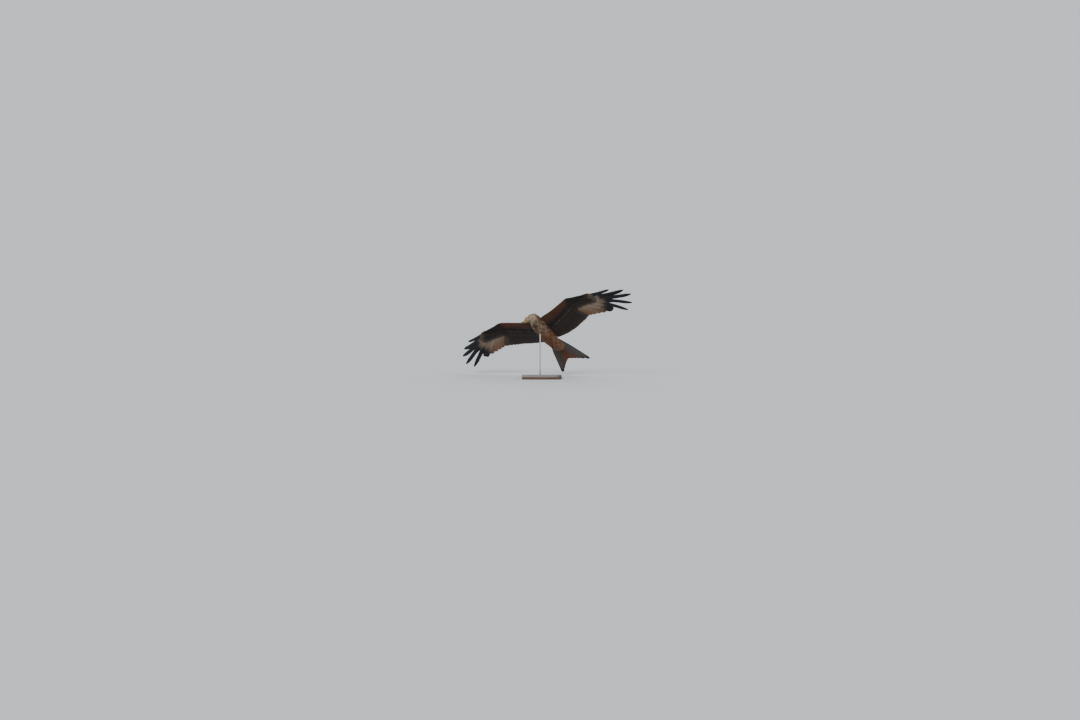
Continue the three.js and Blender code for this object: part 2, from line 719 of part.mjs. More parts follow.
addNode(bird, "torso", torsoNode, BODY_FEATHER);
addNode(bird, "neck", neckNode, HEAD_FEATHER);
addNode(bird, "head", headNode, HEAD_FEATHER);
addNode(bird, "cere", inHead(headPieces.cere), YELLOW_SKIN);
addNode(bird, "beak_upper", inHead(headPieces.beak_upper), BILL_HORN);
addNode(bird, "beak_lower", inHead(headPieces.beak_lower), BILL_HORN);
addNode(bird, "eye_left", inHead(headPieces.eyes[0]), EYE);
addNode(bird, "eye_right", inHead(headPieces.eyes[1]), EYE);
addNode(bird, "tail_left", largest(ahead(tailWhole, TAIL_ROOT, tailAside)), TAIL_FEATHER);
addNode(bird, "tail_right", largest(behind(tailWhole, TAIL_ROOT, tailAside)), TAIL_FEATHER);
for (const [side, turned] of [["left", (s) => s], ["right", mirrored]]) {
  addNode(bird, `wing_${side}_inner`, turned(wingInner), WING_FEATHER);
  addNode(bird, `wing_${side}_outer`, turned(wingOuter), FINGER_FEATHER);
  addNode(bird, `leg_${side}_thigh`, turned(leg.thigh), BODY_FEATHER);
  addNode(bird, `leg_${side}_shank`, turned(leg.shank), YELLOW_SKIN);
  addNode(bird, `foot_${side}`, turned(leg.foot), YELLOW_SKIN);
  leg.claws.forEach((claw, k) => addNode(bird, `claw_${side}_${k + 1}`, turned(claw), CLAW));
}

const birdInStand = torsoClear.transform(bird.matrix.elements);
const rodWhole = upright(ROD_RADIUS, BASE_SIZE[2] + CUT, SHOULDERS.z - 20, 20).subtract(birdInStand);
const stand = new THREE.Group();
addNode(stand, "stand_base", roundedBase(), WOOD);
addNode(stand, "stand_rod", largest(rodWhole), STEEL);

const model = new THREE.Group();
model.add(bird, stand);
export default model;
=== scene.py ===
import math

import bpy
import numpy as np
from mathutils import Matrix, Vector
from mathutils.bvhtree import BVHTree
from mathutils.kdtree import KDTree


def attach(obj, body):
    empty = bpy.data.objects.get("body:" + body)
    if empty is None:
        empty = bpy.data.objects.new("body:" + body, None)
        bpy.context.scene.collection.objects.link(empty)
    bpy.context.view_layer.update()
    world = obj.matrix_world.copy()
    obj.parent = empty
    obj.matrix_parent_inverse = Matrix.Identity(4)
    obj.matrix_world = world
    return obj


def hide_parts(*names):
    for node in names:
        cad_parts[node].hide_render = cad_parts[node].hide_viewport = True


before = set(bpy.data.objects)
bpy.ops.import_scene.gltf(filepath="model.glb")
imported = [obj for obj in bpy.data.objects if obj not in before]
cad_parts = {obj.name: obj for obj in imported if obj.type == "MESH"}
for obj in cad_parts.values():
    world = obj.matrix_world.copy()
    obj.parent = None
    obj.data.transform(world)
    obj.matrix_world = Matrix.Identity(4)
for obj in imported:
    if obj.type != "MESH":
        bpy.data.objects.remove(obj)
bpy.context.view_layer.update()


# The flesh of the bird under its feathers: torso, neck, head, thighs, and the arm and hand of each wing.
# It is one closed skin, made as tapered forms in the bird's own frame that are grown together, and it lies
# inside the feathers by the depth of the coat.
FORWARD = np.array((-0.569, -0.5315, 0.6276))
LEFTWARD = np.array((0.815, -0.4682, 0.3426))
UPWARD = np.cross(FORWARD, LEFTWARD)
ATTITUDE = np.stack([axis / np.linalg.norm(axis) for axis in (FORWARD, LEFTWARD, UPWARD)])
SHOULDERS = np.array((-13.0, -2.0, 412.0))
MM = 0.001
AT_A_POLE = 1e-4

BODY_DEPTH = 5.0
NECK_DEPTH = 4.0
HEAD_DEPTH = 2.0
THIGH_DEPTH = 4.5
WING_DEPTH = 3.0
WING_THINNED = 1.6 * WING_DEPTH
WING_THINNEST = 2.5
WING_ARCH = 0.62
SKIN_GRAIN = 2.1 * MM
SKIN_EASED = 5

# Stations from the neck to the tail: x, the middle's z, half width, height above it and depth below it.
TORSO = np.array(
    [
        (106, 0, 26, 26, 26),
        (84, -8, 41, 38, 40),
        (50, -17, 50, 45, 48),
        (10, -22, 54, 50, 52),
        (-40, -24, 54, 51, 53),
        (-90, -23, 50, 46, 49),
        (-135, -19, 45, 36, 41),
        (-175, -15, 40, 25, 31),
        (-212, -14, 33, 15, 20),
        (-244, -14, 20, 7, 9),
    ],
    float,
)
NECK_PATH = np.array([(58, 0, -15), (84, -2, -13), (104, -9, -18), (117, -18, -25)], float)
NECK_WIDTH = (46, 41, 35, 25)
NECK_HEIGHT = (43, 37, 31, 24)
HEAD_AT = np.array((113.0, -37.0, -33.0))
HEAD_TURN = math.radians(-76)
HEAD_NOD = math.radians(17)
# Stations from the nape to the bill, in the head's own frame, with the same five sizes.
HEAD = np.array(
    [
        (-48, -3, 13, 12, 12),
        (-40, -1, 21, 18, 19),
        (-27, 0, 24.5, 20.5, 21),
        (-12, 0, 24, 20.5, 20.5),
        (2, -1, 21.5, 19, 18.5),
        (14, -2.5, 16, 15, 15),
        (23.5, -4.5, 10, 10, 11),
        (28, -6, 4, 4, 4),
    ],
    float,
)
THIGH = np.array([(-58, 26, -42), (-90, 28, -53), (-122, 26, -56), (-146, 24, -56.5)], float)
THIGH_RADIUS = (20, 22, 17, 9)
BROW = np.array([(-9, 15.2, 9.2), (-1, 18.0, 9.9), (6, 17.2, 9.4), (14, 11.4, 6.4)])
BROW_WIDTH = (1.4, 3.5, 3.2, 1)
BROW_HEIGHT = (1.4, 1.9, 1.8, 1)
# Stations out along the left wing: y, x and z of its leading edge, x and z of its rear edge, thickness.
WING_FLESH = np.array(
    [
        (30, 56, -10, -58, 0, 38),
        (80, 71, -6, -48, 12, 33),
        (130, 77, 2, -34, 22, 27),
        (180, 83, 17, -14, 30, 24),
        (230, 92, 32, 8, 34, 22),
        (275, 105, 40, 32, 36, 20),
        (305, 114, 41, 52, 37, 19),
        (340, 107, 42, 62, 36, 16),
        (380, 101, 39, 70, 34, 13),
        (420, 97, 34, 76, 32, 10),
        (448, 92, 32, 82, 31, 7),
    ],
    float,
)


def in_stand(points):
    """Places in the bird's frame, in millimetres, as places on the stand, in metres."""
    return (np.asarray(points, float) @ ATTITUDE + SHOULDERS) * MM


def in_bird(points):
    """Places on the stand, in metres, as places in the bird's frame, in millimetres."""
    return (np.asarray(points, float) / MM - SHOULDERS) @ ATTITUDE.T


def unit(vectors):
    """Vectors of length one."""
    return vectors / np.maximum(np.linalg.norm(vectors, axis=-1, keepdims=True), 1e-9)


def along(values, t):
    """The value of a list of stations at t from 0 to 1, on a smooth curve through them."""
    values = np.asarray(values, float)
    last = len(values) - 1
    place = np.clip(np.asarray(t, float), 0, 1) * last
    i = np.minimum(place.astype(int), last - 1)
    f = place - i
    if values.ndim > 1:
        f = f[..., None]
    a, b, c, d = (values[np.clip(i + k, 0, last)] for k in (-1, 0, 1, 2))
    return b + 0.5 * f * (c - a + f * (2 * a - 5 * b + 4 * c - d + f * (3 * (b - c) + d - a)))


def columns_of(*parts):
    """Points from their x, y and z columns, where a bare number fills its column."""
    return np.stack(np.broadcast_arrays(*parts), axis=-1).astype(float)


def body_ring(stations, inset):
    """Rings across the x axis from stations of x, z, half width, height above and depth below."""

    def ring(t):
        x, z, width, height, depth = along(stations, t).T
        return (
            columns_of(x, 0 * x, z),
            columns_of(0 * x, width - inset, 0 * x),
            columns_of(0 * x, 0 * x, height - inset),
            columns_of(0 * x, 0 * x, inset - depth),
        )

    return ring


def limb_ring(path, widths, heights, inset=0.0):
    """Rings square to a path, with a half width and half height at each point of it."""
    path = np.asarray(path, float)

    def ring(t):
        tangent = unit(along(path, t + 0.01) - along(path, t - 0.01))
        across = unit(np.array((0.0, 1.0, 0.0)) - tangent * tangent[..., 1:2])
        up = unit(np.cross(across, tangent))
        up = up * np.sign(up[..., 2].sum())
        width, height = (np.maximum(along(v, t) - inset, 0.15)[..., None] for v in (widths, heights))
        return along(path, t), across * width, up * height, -up * height

    return ring


def wing_ring(t):
    """Arched sections of the left wing's flesh, between its leading and its rear edge."""
    y, front_x, front_z, rear_x, rear_z, thick = along(WING_FLESH, t).T
    chord = columns_of(front_x - rear_x, 0 * y, front_z - rear_z)
    up = unit(columns_of(-chord[:, 2], 0 * y, chord[:, 0]))
    middle = columns_of((front_x + rear_x) / 2, y, (front_z + rear_z) / 2)
    half = chord / 2 - unit(chord) * WING_DEPTH
    thick = np.maximum(thick - WING_THINNED, WING_THINNEST)[:, None]
    return middle, half, up * thick * WING_ARCH, -up * thick * (1 - WING_ARCH)


def turned_head():
    """The turn from the head's frame (+x to the bill, +z to the crown) to the bird's."""
    c, s = math.cos(HEAD_TURN), math.sin(HEAD_TURN)
    turn = np.array([(c, -s, 0), (s, c, 0), (0, 0, 1)])
    c, s = math.cos(HEAD_NOD), math.sin(HEAD_NOD)
    return turn @ np.array([(c, 0, s), (0, 1, 0), (-s, 0, c)])


HEAD_TURNED = turned_head()


def head_to_bird(points):
    """Places in the head's frame as places in the bird's."""
    return np.asarray(points, float) @ HEAD_TURNED.T + HEAD_AT


def bird_to_head(points):
    """Places in the bird's frame as places in the head's."""
    return (np.asarray(points, float) - HEAD_AT) @ HEAD_TURNED


def only(*pieces):
    """Selects these pieces and nothing else, and makes the first one active."""
    bpy.ops.object.select_all(action="DESELECT")
    for piece in pieces:
        piece.select_set(True)
    bpy.context.view_layer.objects.active = pieces[0]


def added(name, primitive, **facts):
    """A new primitive under a name, the only thing selected."""
    bpy.ops.object.select_all(action="DESELECT")
    primitive(**facts)
    piece = bpy.context.object
    piece.name = piece.data.name = name
    return piece


def corners_of(piece):
    """The places of a mesh's corners."""
    corners = np.empty(len(piece.data.vertices) * 3)
    piece.data.vertices.foreach_get("co", corners)
    return corners.reshape(-1, 3)


def lofted(name, ring, sides, rings, place=lambda p: p, shape=None):
    """A closed form through rings, shaped from a sphere whose poles become the two ends."""
    piece = added(name, bpy.ops.mesh.primitive_uv_sphere_add, segments=sides, ring_count=rings, radius=1)
    x, y, z = corners_of(piece).T
    t = np.arccos(np.clip(z, -1, 1)) / math.pi
    middle, across, up, down = ring(t)
    out = np.where(np.hypot(x, y) > AT_A_POLE, np.hypot(x, y), np.inf)
    beside, rise = (x / out, y / out) if shape is None else shape(x / out, y / out, t)
    rise = rise[:, None]
    placed = middle + across * beside[:, None] + np.where(rise > 0, up * rise, -down * rise)
    piece.data.vertices.foreach_set("co", in_stand(place(placed)).ravel())
    piece.data.update()
    return piece


def mirrored(points):
    """The same places on the bird's other side."""
    return np.asarray(points) * (1, -1, 1)


def outward(piece):
    """Turns the faces of a closed piece outwards and shades it smooth."""
    only(piece)
    bpy.ops.object.mode_set(mode="EDIT")
    bpy.ops.mesh.select_all(action="SELECT")
    bpy.ops.mesh.normals_make_consistent(inside=False)
    bpy.ops.object.mode_set(mode="OBJECT")
    bpy.ops.object.shade_smooth()
    return piece


def joined(name, pieces):
    """Several pieces made into one, each still a closed form of its own."""
    only(*pieces)
    bpy.ops.object.join()
    whole = bpy.context.object
    whole.name = whole.data.name = name
    return whole


def grown_together(name, pieces, grain, smoothing):
    """Several closed forms fused into one skin and smoothed where they meet."""
    whole = outward(joined(name, pieces))
    fuse = whole.modifiers.new("fuse", "REMESH")
    fuse.mode = "VOXEL"
    fuse.voxel_size = grain
    bpy.ops.object.modifier_apply(modifier=fuse.name)
    ease = whole.modifiers.new("ease", "SMOOTH")
    ease.factor = 0.5
    ease.iterations = smoothing
    bpy.ops.object.modifier_apply(modifier=ease.name)
    return outward(whole)


flesh = [lofted("trunk", body_ring(TORSO, BODY_DEPTH), 48, 40)]
flesh.append(lofted("neck_flesh", limb_ring(NECK_PATH, NECK_WIDTH, NECK_HEIGHT, NECK_DEPTH), 44, 24))
flesh.append(lofted("skull", body_ring(HEAD, HEAD_DEPTH), 44, 36, head_to_bird))
for side in (1, -1):
    brow_ring = limb_ring(BROW * (1, side, 1), BROW_WIDTH, BROW_HEIGHT)
    flesh.append(lofted("brow", brow_ring, 16, 14, head_to_bird))
for over in (lambda p: p, mirrored):
    flesh.append(lofted("thigh", limb_ring(THIGH, THIGH_RADIUS, THIGH_RADIUS, THIGH_DEPTH), 28, 24, over))
    flesh.append(lofted("wing_flesh", wing_ring, 40, 70, over))
skin = grown_together("skin", flesh, SKIN_GRAIN, SKIN_EASED)
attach(skin, "root")
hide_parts("torso", "neck", "head", "tail_left", "tail_right")
for side in ("left", "right"):
    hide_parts(f"leg_{side}_thigh", f"wing_{side}_inner", f"wing_{side}_outer")

SKIN_POINTS = in_bird(corners_of(skin))
skin_normals = np.empty(len(skin.data.vertices) * 3)
skin.data.vertices.foreach_get("normal", skin_normals)
SKIN_NORMALS = skin_normals.reshape(-1, 3) @ ATTITUDE.T
skin.data.calc_loop_triangles()
skin_faces = np.empty(len(skin.data.loop_triangles) * 3, np.int32)
skin.data.loop_triangles.foreach_get("vertices", skin_faces)
SKIN_FACES = skin_faces.reshape(-1, 3)


# The colours of the plumage, which the skin and every feather on it share. Each tract has a ground colour, a
# rim and a dark mark along the shaft, as on a red kite in fresh plumage: pale on the head, streaked on the
# breast, rufous on the belly and tail, and dark brown on the back and wings.


def hue(code):
    """A colour from its usual hexadecimal form, as linear light."""
    parts = np.array([int(code[i : i + 2], 16) for i in (1, 3, 5)]) / 255
    return np.where(parts <= 0.04045, parts / 12.92, ((parts + 0.055) / 1.055) ** 2.4)


def solid(code):
    """The same colour as a shader takes it, with full cover."""
    return (*hue(code), 1)


def mixed(low, high, f):
    """One colour turning into another as f goes from 0 to 1."""
    f = np.asarray(f, float)[..., None]
    return np.asarray(low) * (1 - f) + np.asarray(high) * f


def with_strength(colour, strength):
    """Colours with the strength of their mark as a fourth part."""
    strength = np.broadcast_to(np.asarray(strength, float), colour.shape[:-1])
    return np.concatenate([colour, strength[..., None]], axis=-1)


def smooth(value, low, high):
    """A soft step from 0 at low to 1 at high."""
    f = np.clip((np.asarray(value, float) - low) / (high - low), 0, 1)
    return f * f * (3 - 2 * f)


def blotches(points, size, seed):
    """Soft random patches of a size in millimetres, from 0 to 1, the same wherever they are asked for."""
    rng = np.random.default_rng(seed)
    waves = unit(rng.normal(0, 1, (9, 3))) * rng.uniform(0.7, 1.4, (9, 1)) * 2 * math.pi / size
    return smooth(np.sin(points @ waves.T + rng.uniform(0, 2 * math.pi, 9)).sum(axis=1), -2.4, 2.4)


NECK_END = np.array((104.0, -10.0, -18.0))
NECK_END_DIRECTION = np.array((0.86, -0.5, -0.12))
MANTLE, RUMP = hue("#3f2c20"), hue("#8a4f2c")
BREAST_DARK, BREAST_LIGHT = hue("#1f1611"), hue("#533e30")
BELLY_DARK, BELLY_LIGHT = hue("#452b1f"), hue("#7a523b")
VENT = hue("#70503c")
CHEEK, CROWN = hue("#a08b74"), hue("#806b56")
WING_GROUND = hue("#2d1f19")
MANTLE_RIM, RUMP_RIM = hue("#8a5f3c"), hue("#a86a3c")
BREAST_RIM, BELLY_RIM, HEAD_RIM = hue("#b09a7e"), hue("#93704f"), hue("#cdbca2")
BODY_STREAK, HEAD_STREAK = hue("#1d1410"), hue("#33261b")
BLOTCH_SIZE = 24


def plumage(points, normals):
    """Ground, rim and shaft mark of the body's feathers at places on the skin."""
    x, y = points.T[:2]
    under = smooth(-normals[:, 2], -0.35, 0.3)
    bill = head_to_bird((30, 0, -6))
    way = np.clip((points - NECK_END) @ (bill - NECK_END) / ((bill - NECK_END) ** 2).sum(), 0, 1)
    off_head = np.linalg.norm(points - NECK_END - way[:, None] * (bill - NECK_END), axis=1)
    head = smooth((points - NECK_END) @ NECK_END_DIRECTION, -34, 8) * (1 - smooth(off_head, 40, 56))
    crown = smooth(bird_to_head(points)[:, 2], -2, 12) * head
    rear = smooth(-x, 112, 165)
    belly = smooth(-x, -18, 60)
    clump = blotches(points * (0.6, 1, 1), BLOTCH_SIZE, 5)
    breast = mixed(BREAST_DARK, BREAST_LIGHT, clump)
    breast = mixed(breast, mixed(BELLY_DARK, BELLY_LIGHT, clump), belly)
    breast = mixed(breast, VENT, rear)
    ground = mixed(mixed(MANTLE, RUMP, rear), breast, under)
    ground = mixed(ground, mixed(CHEEK, CROWN, crown), head)
    rim = mixed(mixed(MANTLE_RIM, RUMP_RIM, rear), mixed(BREAST_RIM, BELLY_RIM, belly), under)
    rim = mixed(rim, HEAD_RIM, head)
    streak = mixed(BODY_STREAK, HEAD_STREAK, head)
    rim_strength = 0.45 + under * (1 - belly) * (0.4 * clump - 0.2) - 0.15 * rear
    wing = smooth(np.abs(y), 48, 62) * (1 - head)
    ground = mixed(ground, WING_GROUND, wing)
    return (
        with_strength(ground, 0.0),
        with_strength(rim, rim_strength * (1 - wing)),
        with_strength(streak, 0.85 - 0.25 * under * belly - 0.35 * rear),
    )


class Mark:
    """A number or colour within a material, so that a marking can be written as an expression."""

    def __init__(self, finish, socket):
        self.finish = finish
        self.socket = socket

    def worked(self, operation, *others):
        return self.finish.node("ShaderNodeMath", {"operation": operation}, dict(enumerate((self, *others))))

    def __add__(self, other):
        return self.worked("ADD", other)

    def __sub__(self, other):
        return self.worked("SUBTRACT", other)

    def __mul__(self, other):
        return self.worked("MULTIPLY", other)

    def __rsub__(self, other):
        return self.finish.node("ShaderNodeMath", {"operation": "SUBTRACT"}, {0: other, 1: self})

    __radd__ = __add__
    __rmul__ = __mul__

    def __abs__(self):
        return self.worked("ABSOLUTE")

    def step(self, low, high):
        """A soft step from 0 at low to 1 at high."""
        sockets = {"Value": self, "From Min": low, "From Max": high}
        return self.finish.node("ShaderNodeMapRange", {"interpolation_type": "SMOOTHSTEP"}, sockets)


class Finish:
    """One material of the model, with its shader and the nodes that mark it."""

    def __init__(self, name, **facts):
        self.material = bpy.data.materials.new(name)
        self.material.use_nodes = True
        self.tree = self.material.node_tree
        self.shader = next(n for n in self.tree.nodes if n.type == "BSDF_PRINCIPLED")
        self.wear(**facts)

    def put(self, socket, value):
        """Gives a socket a number or colour, or leads a marking into it."""
        if isinstance(value, Mark):
            self.tree.links.new(value.socket, socket)
        else:
            socket.default_value = value

    def node(self, kind, settings=None, sockets=None, out=0):
        """Adds a node and gives back one of its outputs."""
        made = self.tree.nodes.new(kind)
        for name, value in (settings or {}).items():
            setattr(made, name, value)
        for key, value in (sockets or {}).items():
            self.put(made.inputs[key], value)
        return Mark(self, made.outputs[out])

    def wear(self, **facts):
        """Sets sockets of the shader, named with underscores for spaces."""
        for name, value in facts.items():
            self.put(self.shader.inputs[name.replace("_", " ")], value)

    def blend(self, factor, low, high):
        """One colour turning into another as a factor goes from 0 to 1."""
        return self.node("ShaderNodeMix", {"data_type": "RGBA"}, {0: factor, 6: low, 7: high}, 2)

    def carried(self, name, out=0):
        """What the mesh carries under a name: 0 its colour, 1 its vector, 2 its number, 3 its strength."""
        return self.node("ShaderNodeAttribute", {"attribute_name": name}, out=out)

    def mottle(self, scale, detail=3.0, stretch=(1, 1, 1)):
        """Soft random patches from 0 to 1, on the piece's own coordinates."""
        place = self.node("ShaderNodeTexCoord", out=3)
        place = self.node("ShaderNodeMapping", sockets={"Vector": place, "Scale": stretch})
        return self.node("ShaderNodeTexNoise", sockets={"Vector": place, "Scale": scale, "Detail": detail})

    def bumped(self, height, distance, strength=1.0):
        """Lets a marking stand off the surface by a distance in metres."""
        sockets = {"Strength": strength, "Distance": distance, "Height": height}
        self.wear(Normal=self.node("ShaderNodeBump", sockets=sockets))

    def on(self, piece):
        """Makes this the one material of a piece."""
        piece.data.materials.clear()
        piece.data.materials.append(self.material)


def carry(piece, name, kind, values, domain="POINT"):
    """Stores values on each corner of a mesh under a name that its material reads."""
    layer = piece.data.attributes.new(name, kind, domain)
    field = {"FLOAT": "value", "FLOAT_VECTOR": "vector", "FLOAT_COLOR": "color", "FLOAT2": "vector"}[kind]
    layer.data.foreach_set(field, np.ascontiguousarray(values, np.float32).ravel())


down = Finish("down_and_skin", Roughness=0.9)
down.wear(Base_Color=down.blend(down.mottle(420) * 0.5, down.carried("ground"), solid("#3a2a1e")))
down.bumped(down.mottle(900), 0.0006)
down.on(skin)
carry(skin, "ground", "FLOAT_COLOR", plumage(SKIN_POINTS, SKIN_NORMALS)[0])


# The flight feathers of the wings: on each side seventeen of the arm and ten of the hand, of which the outer
# five part into fingers. Each is a stiff vane on a tapered shaft, rooted in the rear edge of the flesh, and
# passes over the next one outwards.
ARM_FEATHERS = 17
ARM_ROOTS = ((-46, 64, 8), (-36, 114, 20), (-18, 164, 28), (8, 214, 33), (40, 264, 36), (66, 313, 36))
ARM_TIPS = (
    (-196, 53, 6),
    (-208, 104, 20),
    (-205, 160, 31),
    (-189, 220, 35),
    (-161, 279, 32),
    (-135, 338, 24),
    (-98, 391, 11),
)
# The hand's feathers fan out from the wrist, the innermost first: how far, at what angle and at what height.
WRIST = np.array((114.0, 305.0, 38.0))
PRIMARY_REACH = np.array((243, 265, 292, 326, 374, 488, 520, 514, 458, 356), float)
PRIMARY_SWEEP = np.radians((58.9, 53, 47.6, 42.4, 37.4, 32.6, 26.3, 21.8, 18.3, 12.7))
PRIMARY_HEIGHT = np.array((8, 6.5, 5.5, 5, 5.2, 4.4, 11, 19, 30, 43), float)
FINGER_BEND = (0, 0, 0, 0, 0, -34, -16, 28, 37, 12)
HAND_FEATHERS = 10
FIRST_FINGER = 5
HAND_ROOTS = ((70, 327, 36), (74, 354, 35.5), (78, 382, 34), (83, 410, 32.5), (87, 437, 31))
HAND_TIPS = columns_of(
    WRIST[0] - PRIMARY_REACH * np.sin(PRIMARY_SWEEP),
    WRIST[1] + PRIMARY_REACH * np.cos(PRIMARY_SWEEP),
    PRIMARY_HEIGHT,
)
FLANK_VANES = 4
FLANK_ROOTS = ((-53, 40, 12), (-50, 50, 11), (-46, 62, 11.5))
FLANK_TIPS = ((-168, 38, 6), (-182, 46, 7.5), (-192, 56, 9.5))
ARM = (ARM_ROOTS, ARM_TIPS)
HAND = (HAND_ROOTS, HAND_TIPS)
FLANK = (FLANK_ROOTS, FLANK_TIPS)
TIER_STEP = 2.0
ARM_WIDTHS = (11, 20)
HAND_WIDTHS = (12, 30)
FINGER_WIDTHS = (13, 32)
FLANK_WIDTHS = (8, 10)
LAST_NARROWED = 0.72
# Rows along a vane and columns across it.
ARM_GRID, HAND_GRID, FLANK_GRID = (44, 12), (64, 14), (30, 8)
VANE_THICK = 0.55
EDGE_THICK = 0.16
SHAFT_RADIUS = (1.7, 0.35)
BARB_SLOPE = 1.15
# Stations along a vane, each with the parts of its full width before and behind the shaft.
ROUND_OUTLINE = ((0, 0.6, 0.3), (0.2, 0.86, 0.76), (0.45, 1, 1), (0.94, 0.97, 1), (1, 0.94, 0.98))
FIRST_SLOT = 0.54
LAST_SLOT = 0.41


def leaf_faces(rows, columns, shared):
    """Faces of a thin closed leaf: an upper and a lower sheet that share their border or have a wall."""
    top = np.arange((rows + 1) * (columns + 1)).reshape(rows + 1, columns + 1)
    low = top + top.size
    if shared:
        low = top.copy()
        low[1:-1, 1:-1] = top.size + np.arange((rows - 1) * (columns - 1)).reshape(rows - 1, columns - 1)
    sheets = []
    for grid, order in ((top, (0, 3, 2, 1)), (low, (0, 1, 2, 3))):
        corners = (grid[:-1, :-1], grid[:-1, 1:], grid[1:, 1:], grid[1:, :-1])
        sheets.append(np.stack([corners[k].ravel() for k in order], axis=1))
    if not shared:
        for a, b in (
            ((slice(1, None), 0), (slice(None, -1), 0)),
            ((slice(None, -1), -1), (slice(1, None), -1)),
            ((0, slice(None, -1)), (0, slice(1, None))),
            ((-1, slice(1, None)), (-1, slice(None, -1))),
        ):
            sheets.append(np.stack([top[a], top[b], low[b], low[a]], axis=1))
    edge = np.ones((rows + 1, columns + 1), bool)
    edge[1:-1, 1:-1] = False
    low_edge = np.zeros((rows - 1) * (columns - 1), bool) if shared else edge.ravel()
    return np.concatenate(sheets), np.concatenate([edge.ravel(), low_edge])


class Plumes:
    """Feathers gathered for one piece, each with its corners, faces and the facts that its material reads."""

    FACTS = {"vane": 3, "ground": 4, "rim": 4, "streak": 4, "barb": 1, "patch": 2}

    def __init__(self):
        self.corners = []
        self.faces = []
        self.border = []
        self.facts = {name: [] for name in self.FACTS}
        self.count = 0

    def add(self, corners, faces, border, facts, flip=False):
        """Adds corners and four-cornered faces, with the facts of each corner."""
        self.corners.append(corners)
        self.faces.append((faces[:, ::-1] if flip else faces) + self.count)
        self.border.append(border)
        for name, width in self.FACTS.items():
            self.facts[name].append(np.broadcast_to(facts[name], (len(corners), width)))
        self.count += len(corners)

    def leaves(self, top, low, facts, low_facts=None, shared=False):
        """Adds leaves from grids of places (leaf, row, column, xyz), with their facts in the same grids."""
        count, rows, columns = top.shape[0], top.shape[1] - 1, top.shape[2] - 1
        faces, border = leaf_faces(rows, columns, shared)

        def flat(upper, lower):
            if shared:
                lower = lower[:, 1:-1, 1:-1]
            parts = [grid.reshape(count, -1, grid.shape[-1]) for grid in (upper, lower)]
            return np.concatenate(parts, axis=1)

        corners = flat(top, low)
        each = corners.shape[1]
        along_it = top[:, 1:, 1:] - top[:, :-1, 1:]
        beside_it = top[:, 1:, 1:] - top[:, 1:, :-1]
        turn = (np.cross(along_it, beside_it) * (top - low)[:, 1:, 1:]).sum(axis=-1)
        turn = turn[:, rows // 2, columns // 2]
        for flip in (False, True):
            chosen = np.nonzero((turn < 0) == flip)[0]
            if not len(chosen):
                continue
            shifts = np.arange(len(chosen)) * each
            all_faces = (faces[None] + shifts[:, None, None]).reshape(-1, 4)
            chosen_facts = {}
            for name, width in self.FACTS.items():
                upper = np.broadcast_to(facts[name], top.shape[:3] + (width,))
                lower = np.broadcast_to((low_facts or facts)[name], top.shape[:3] + (width,))
                chosen_facts[name] = flat(upper, lower)[chosen].reshape(-1, width)
            borders = np.tile(border, len(chosen))
            self.add(corners[chosen].reshape(-1, 3), all_faces, borders, chosen_facts, flip)

    def quill(self, middle, across, up, radius, facts):
        """Adds a tapered six-sided shaft along a line of places."""
        turns = np.arange(6) * math.pi / 3
        beside, above = (np.outer(radius, wave(turns))[..., None] for wave in (np.cos, np.sin))
        rings = middle[:, None] + across[:, None] * beside + up[:, None] * above
        rows = len(middle)
        ids = np.arange(rows * 6).reshape(rows, 6)
        following = np.roll(ids, -1, axis=1)
        sides = np.stack([ids[:-1], following[:-1], following[1:], ids[1:]], axis=-1).reshape(-1, 4)
        ends = np.array([(0, 3, 2, 1), (0, 5, 4, 3), (0, 1, 2, 3), (0, 3, 4, 5)])
        ends[2:] += (rows - 1) * 6
        turn = np.dot(np.cross(across[0], up[0]), middle[-1] - middle[0])
        faces = np.concatenate([sides, ends])
        self.add(rings.reshape(-1, 3), faces, np.zeros(rows * 6, bool), facts, turn < 0)

    def made(self, name, finish, slot, over=lambda p: p):
        """Joins the gathered feathers into one piece of the model."""
        corners = in_stand(over(np.concatenate(self.corners)))
        faces = np.concatenate(self.faces)
        if over is mirrored:
            faces = faces[:, ::-1]
        mesh = bpy.data.meshes.new(name)
        mesh.vertices.add(len(corners))
        mesh.vertices.foreach_set("co", corners.ravel())
        mesh.loops.add(faces.size)
        mesh.loops.foreach_set("vertex_index", faces.ravel().astype(np.int32))
        mesh.polygons.add(len(faces))
        mesh.polygons.foreach_set("loop_start", np.arange(0, faces.size, 4, dtype=np.int32))
        mesh.polygons.foreach_set("use_smooth", np.ones(len(faces), bool))
        mesh.update(calc_edges=True)
        edges = np.empty(len(mesh.edges) * 2, np.int32)
        mesh.edges.foreach_get("vertices", edges)
        border = np.concatenate(self.border)[edges.reshape(-1, 2)].all(axis=1)
        mesh.attributes.new("sharp_edge", "BOOLEAN", "EDGE").data.foreach_set("value", border)
        piece = bpy.data.objects.new(name, mesh)
        bpy.context.collection.objects.link(piece)
        kinds = {1: "FLOAT", 3: "FLOAT_VECTOR", 4: "FLOAT_COLOR"}
        for fact, width in self.FACTS.items():
            values = np.concatenate(self.facts[fact])
            if fact == "patch":
                unwrap = mesh.uv_layers.new(name="OFBake")
                unwrap.data.foreach_set("uv", values[faces.ravel()].astype(np.float32).ravel())
            else:
                carry(piece, fact, kinds[width], values)
        finish.on(piece)
        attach(piece, "root")


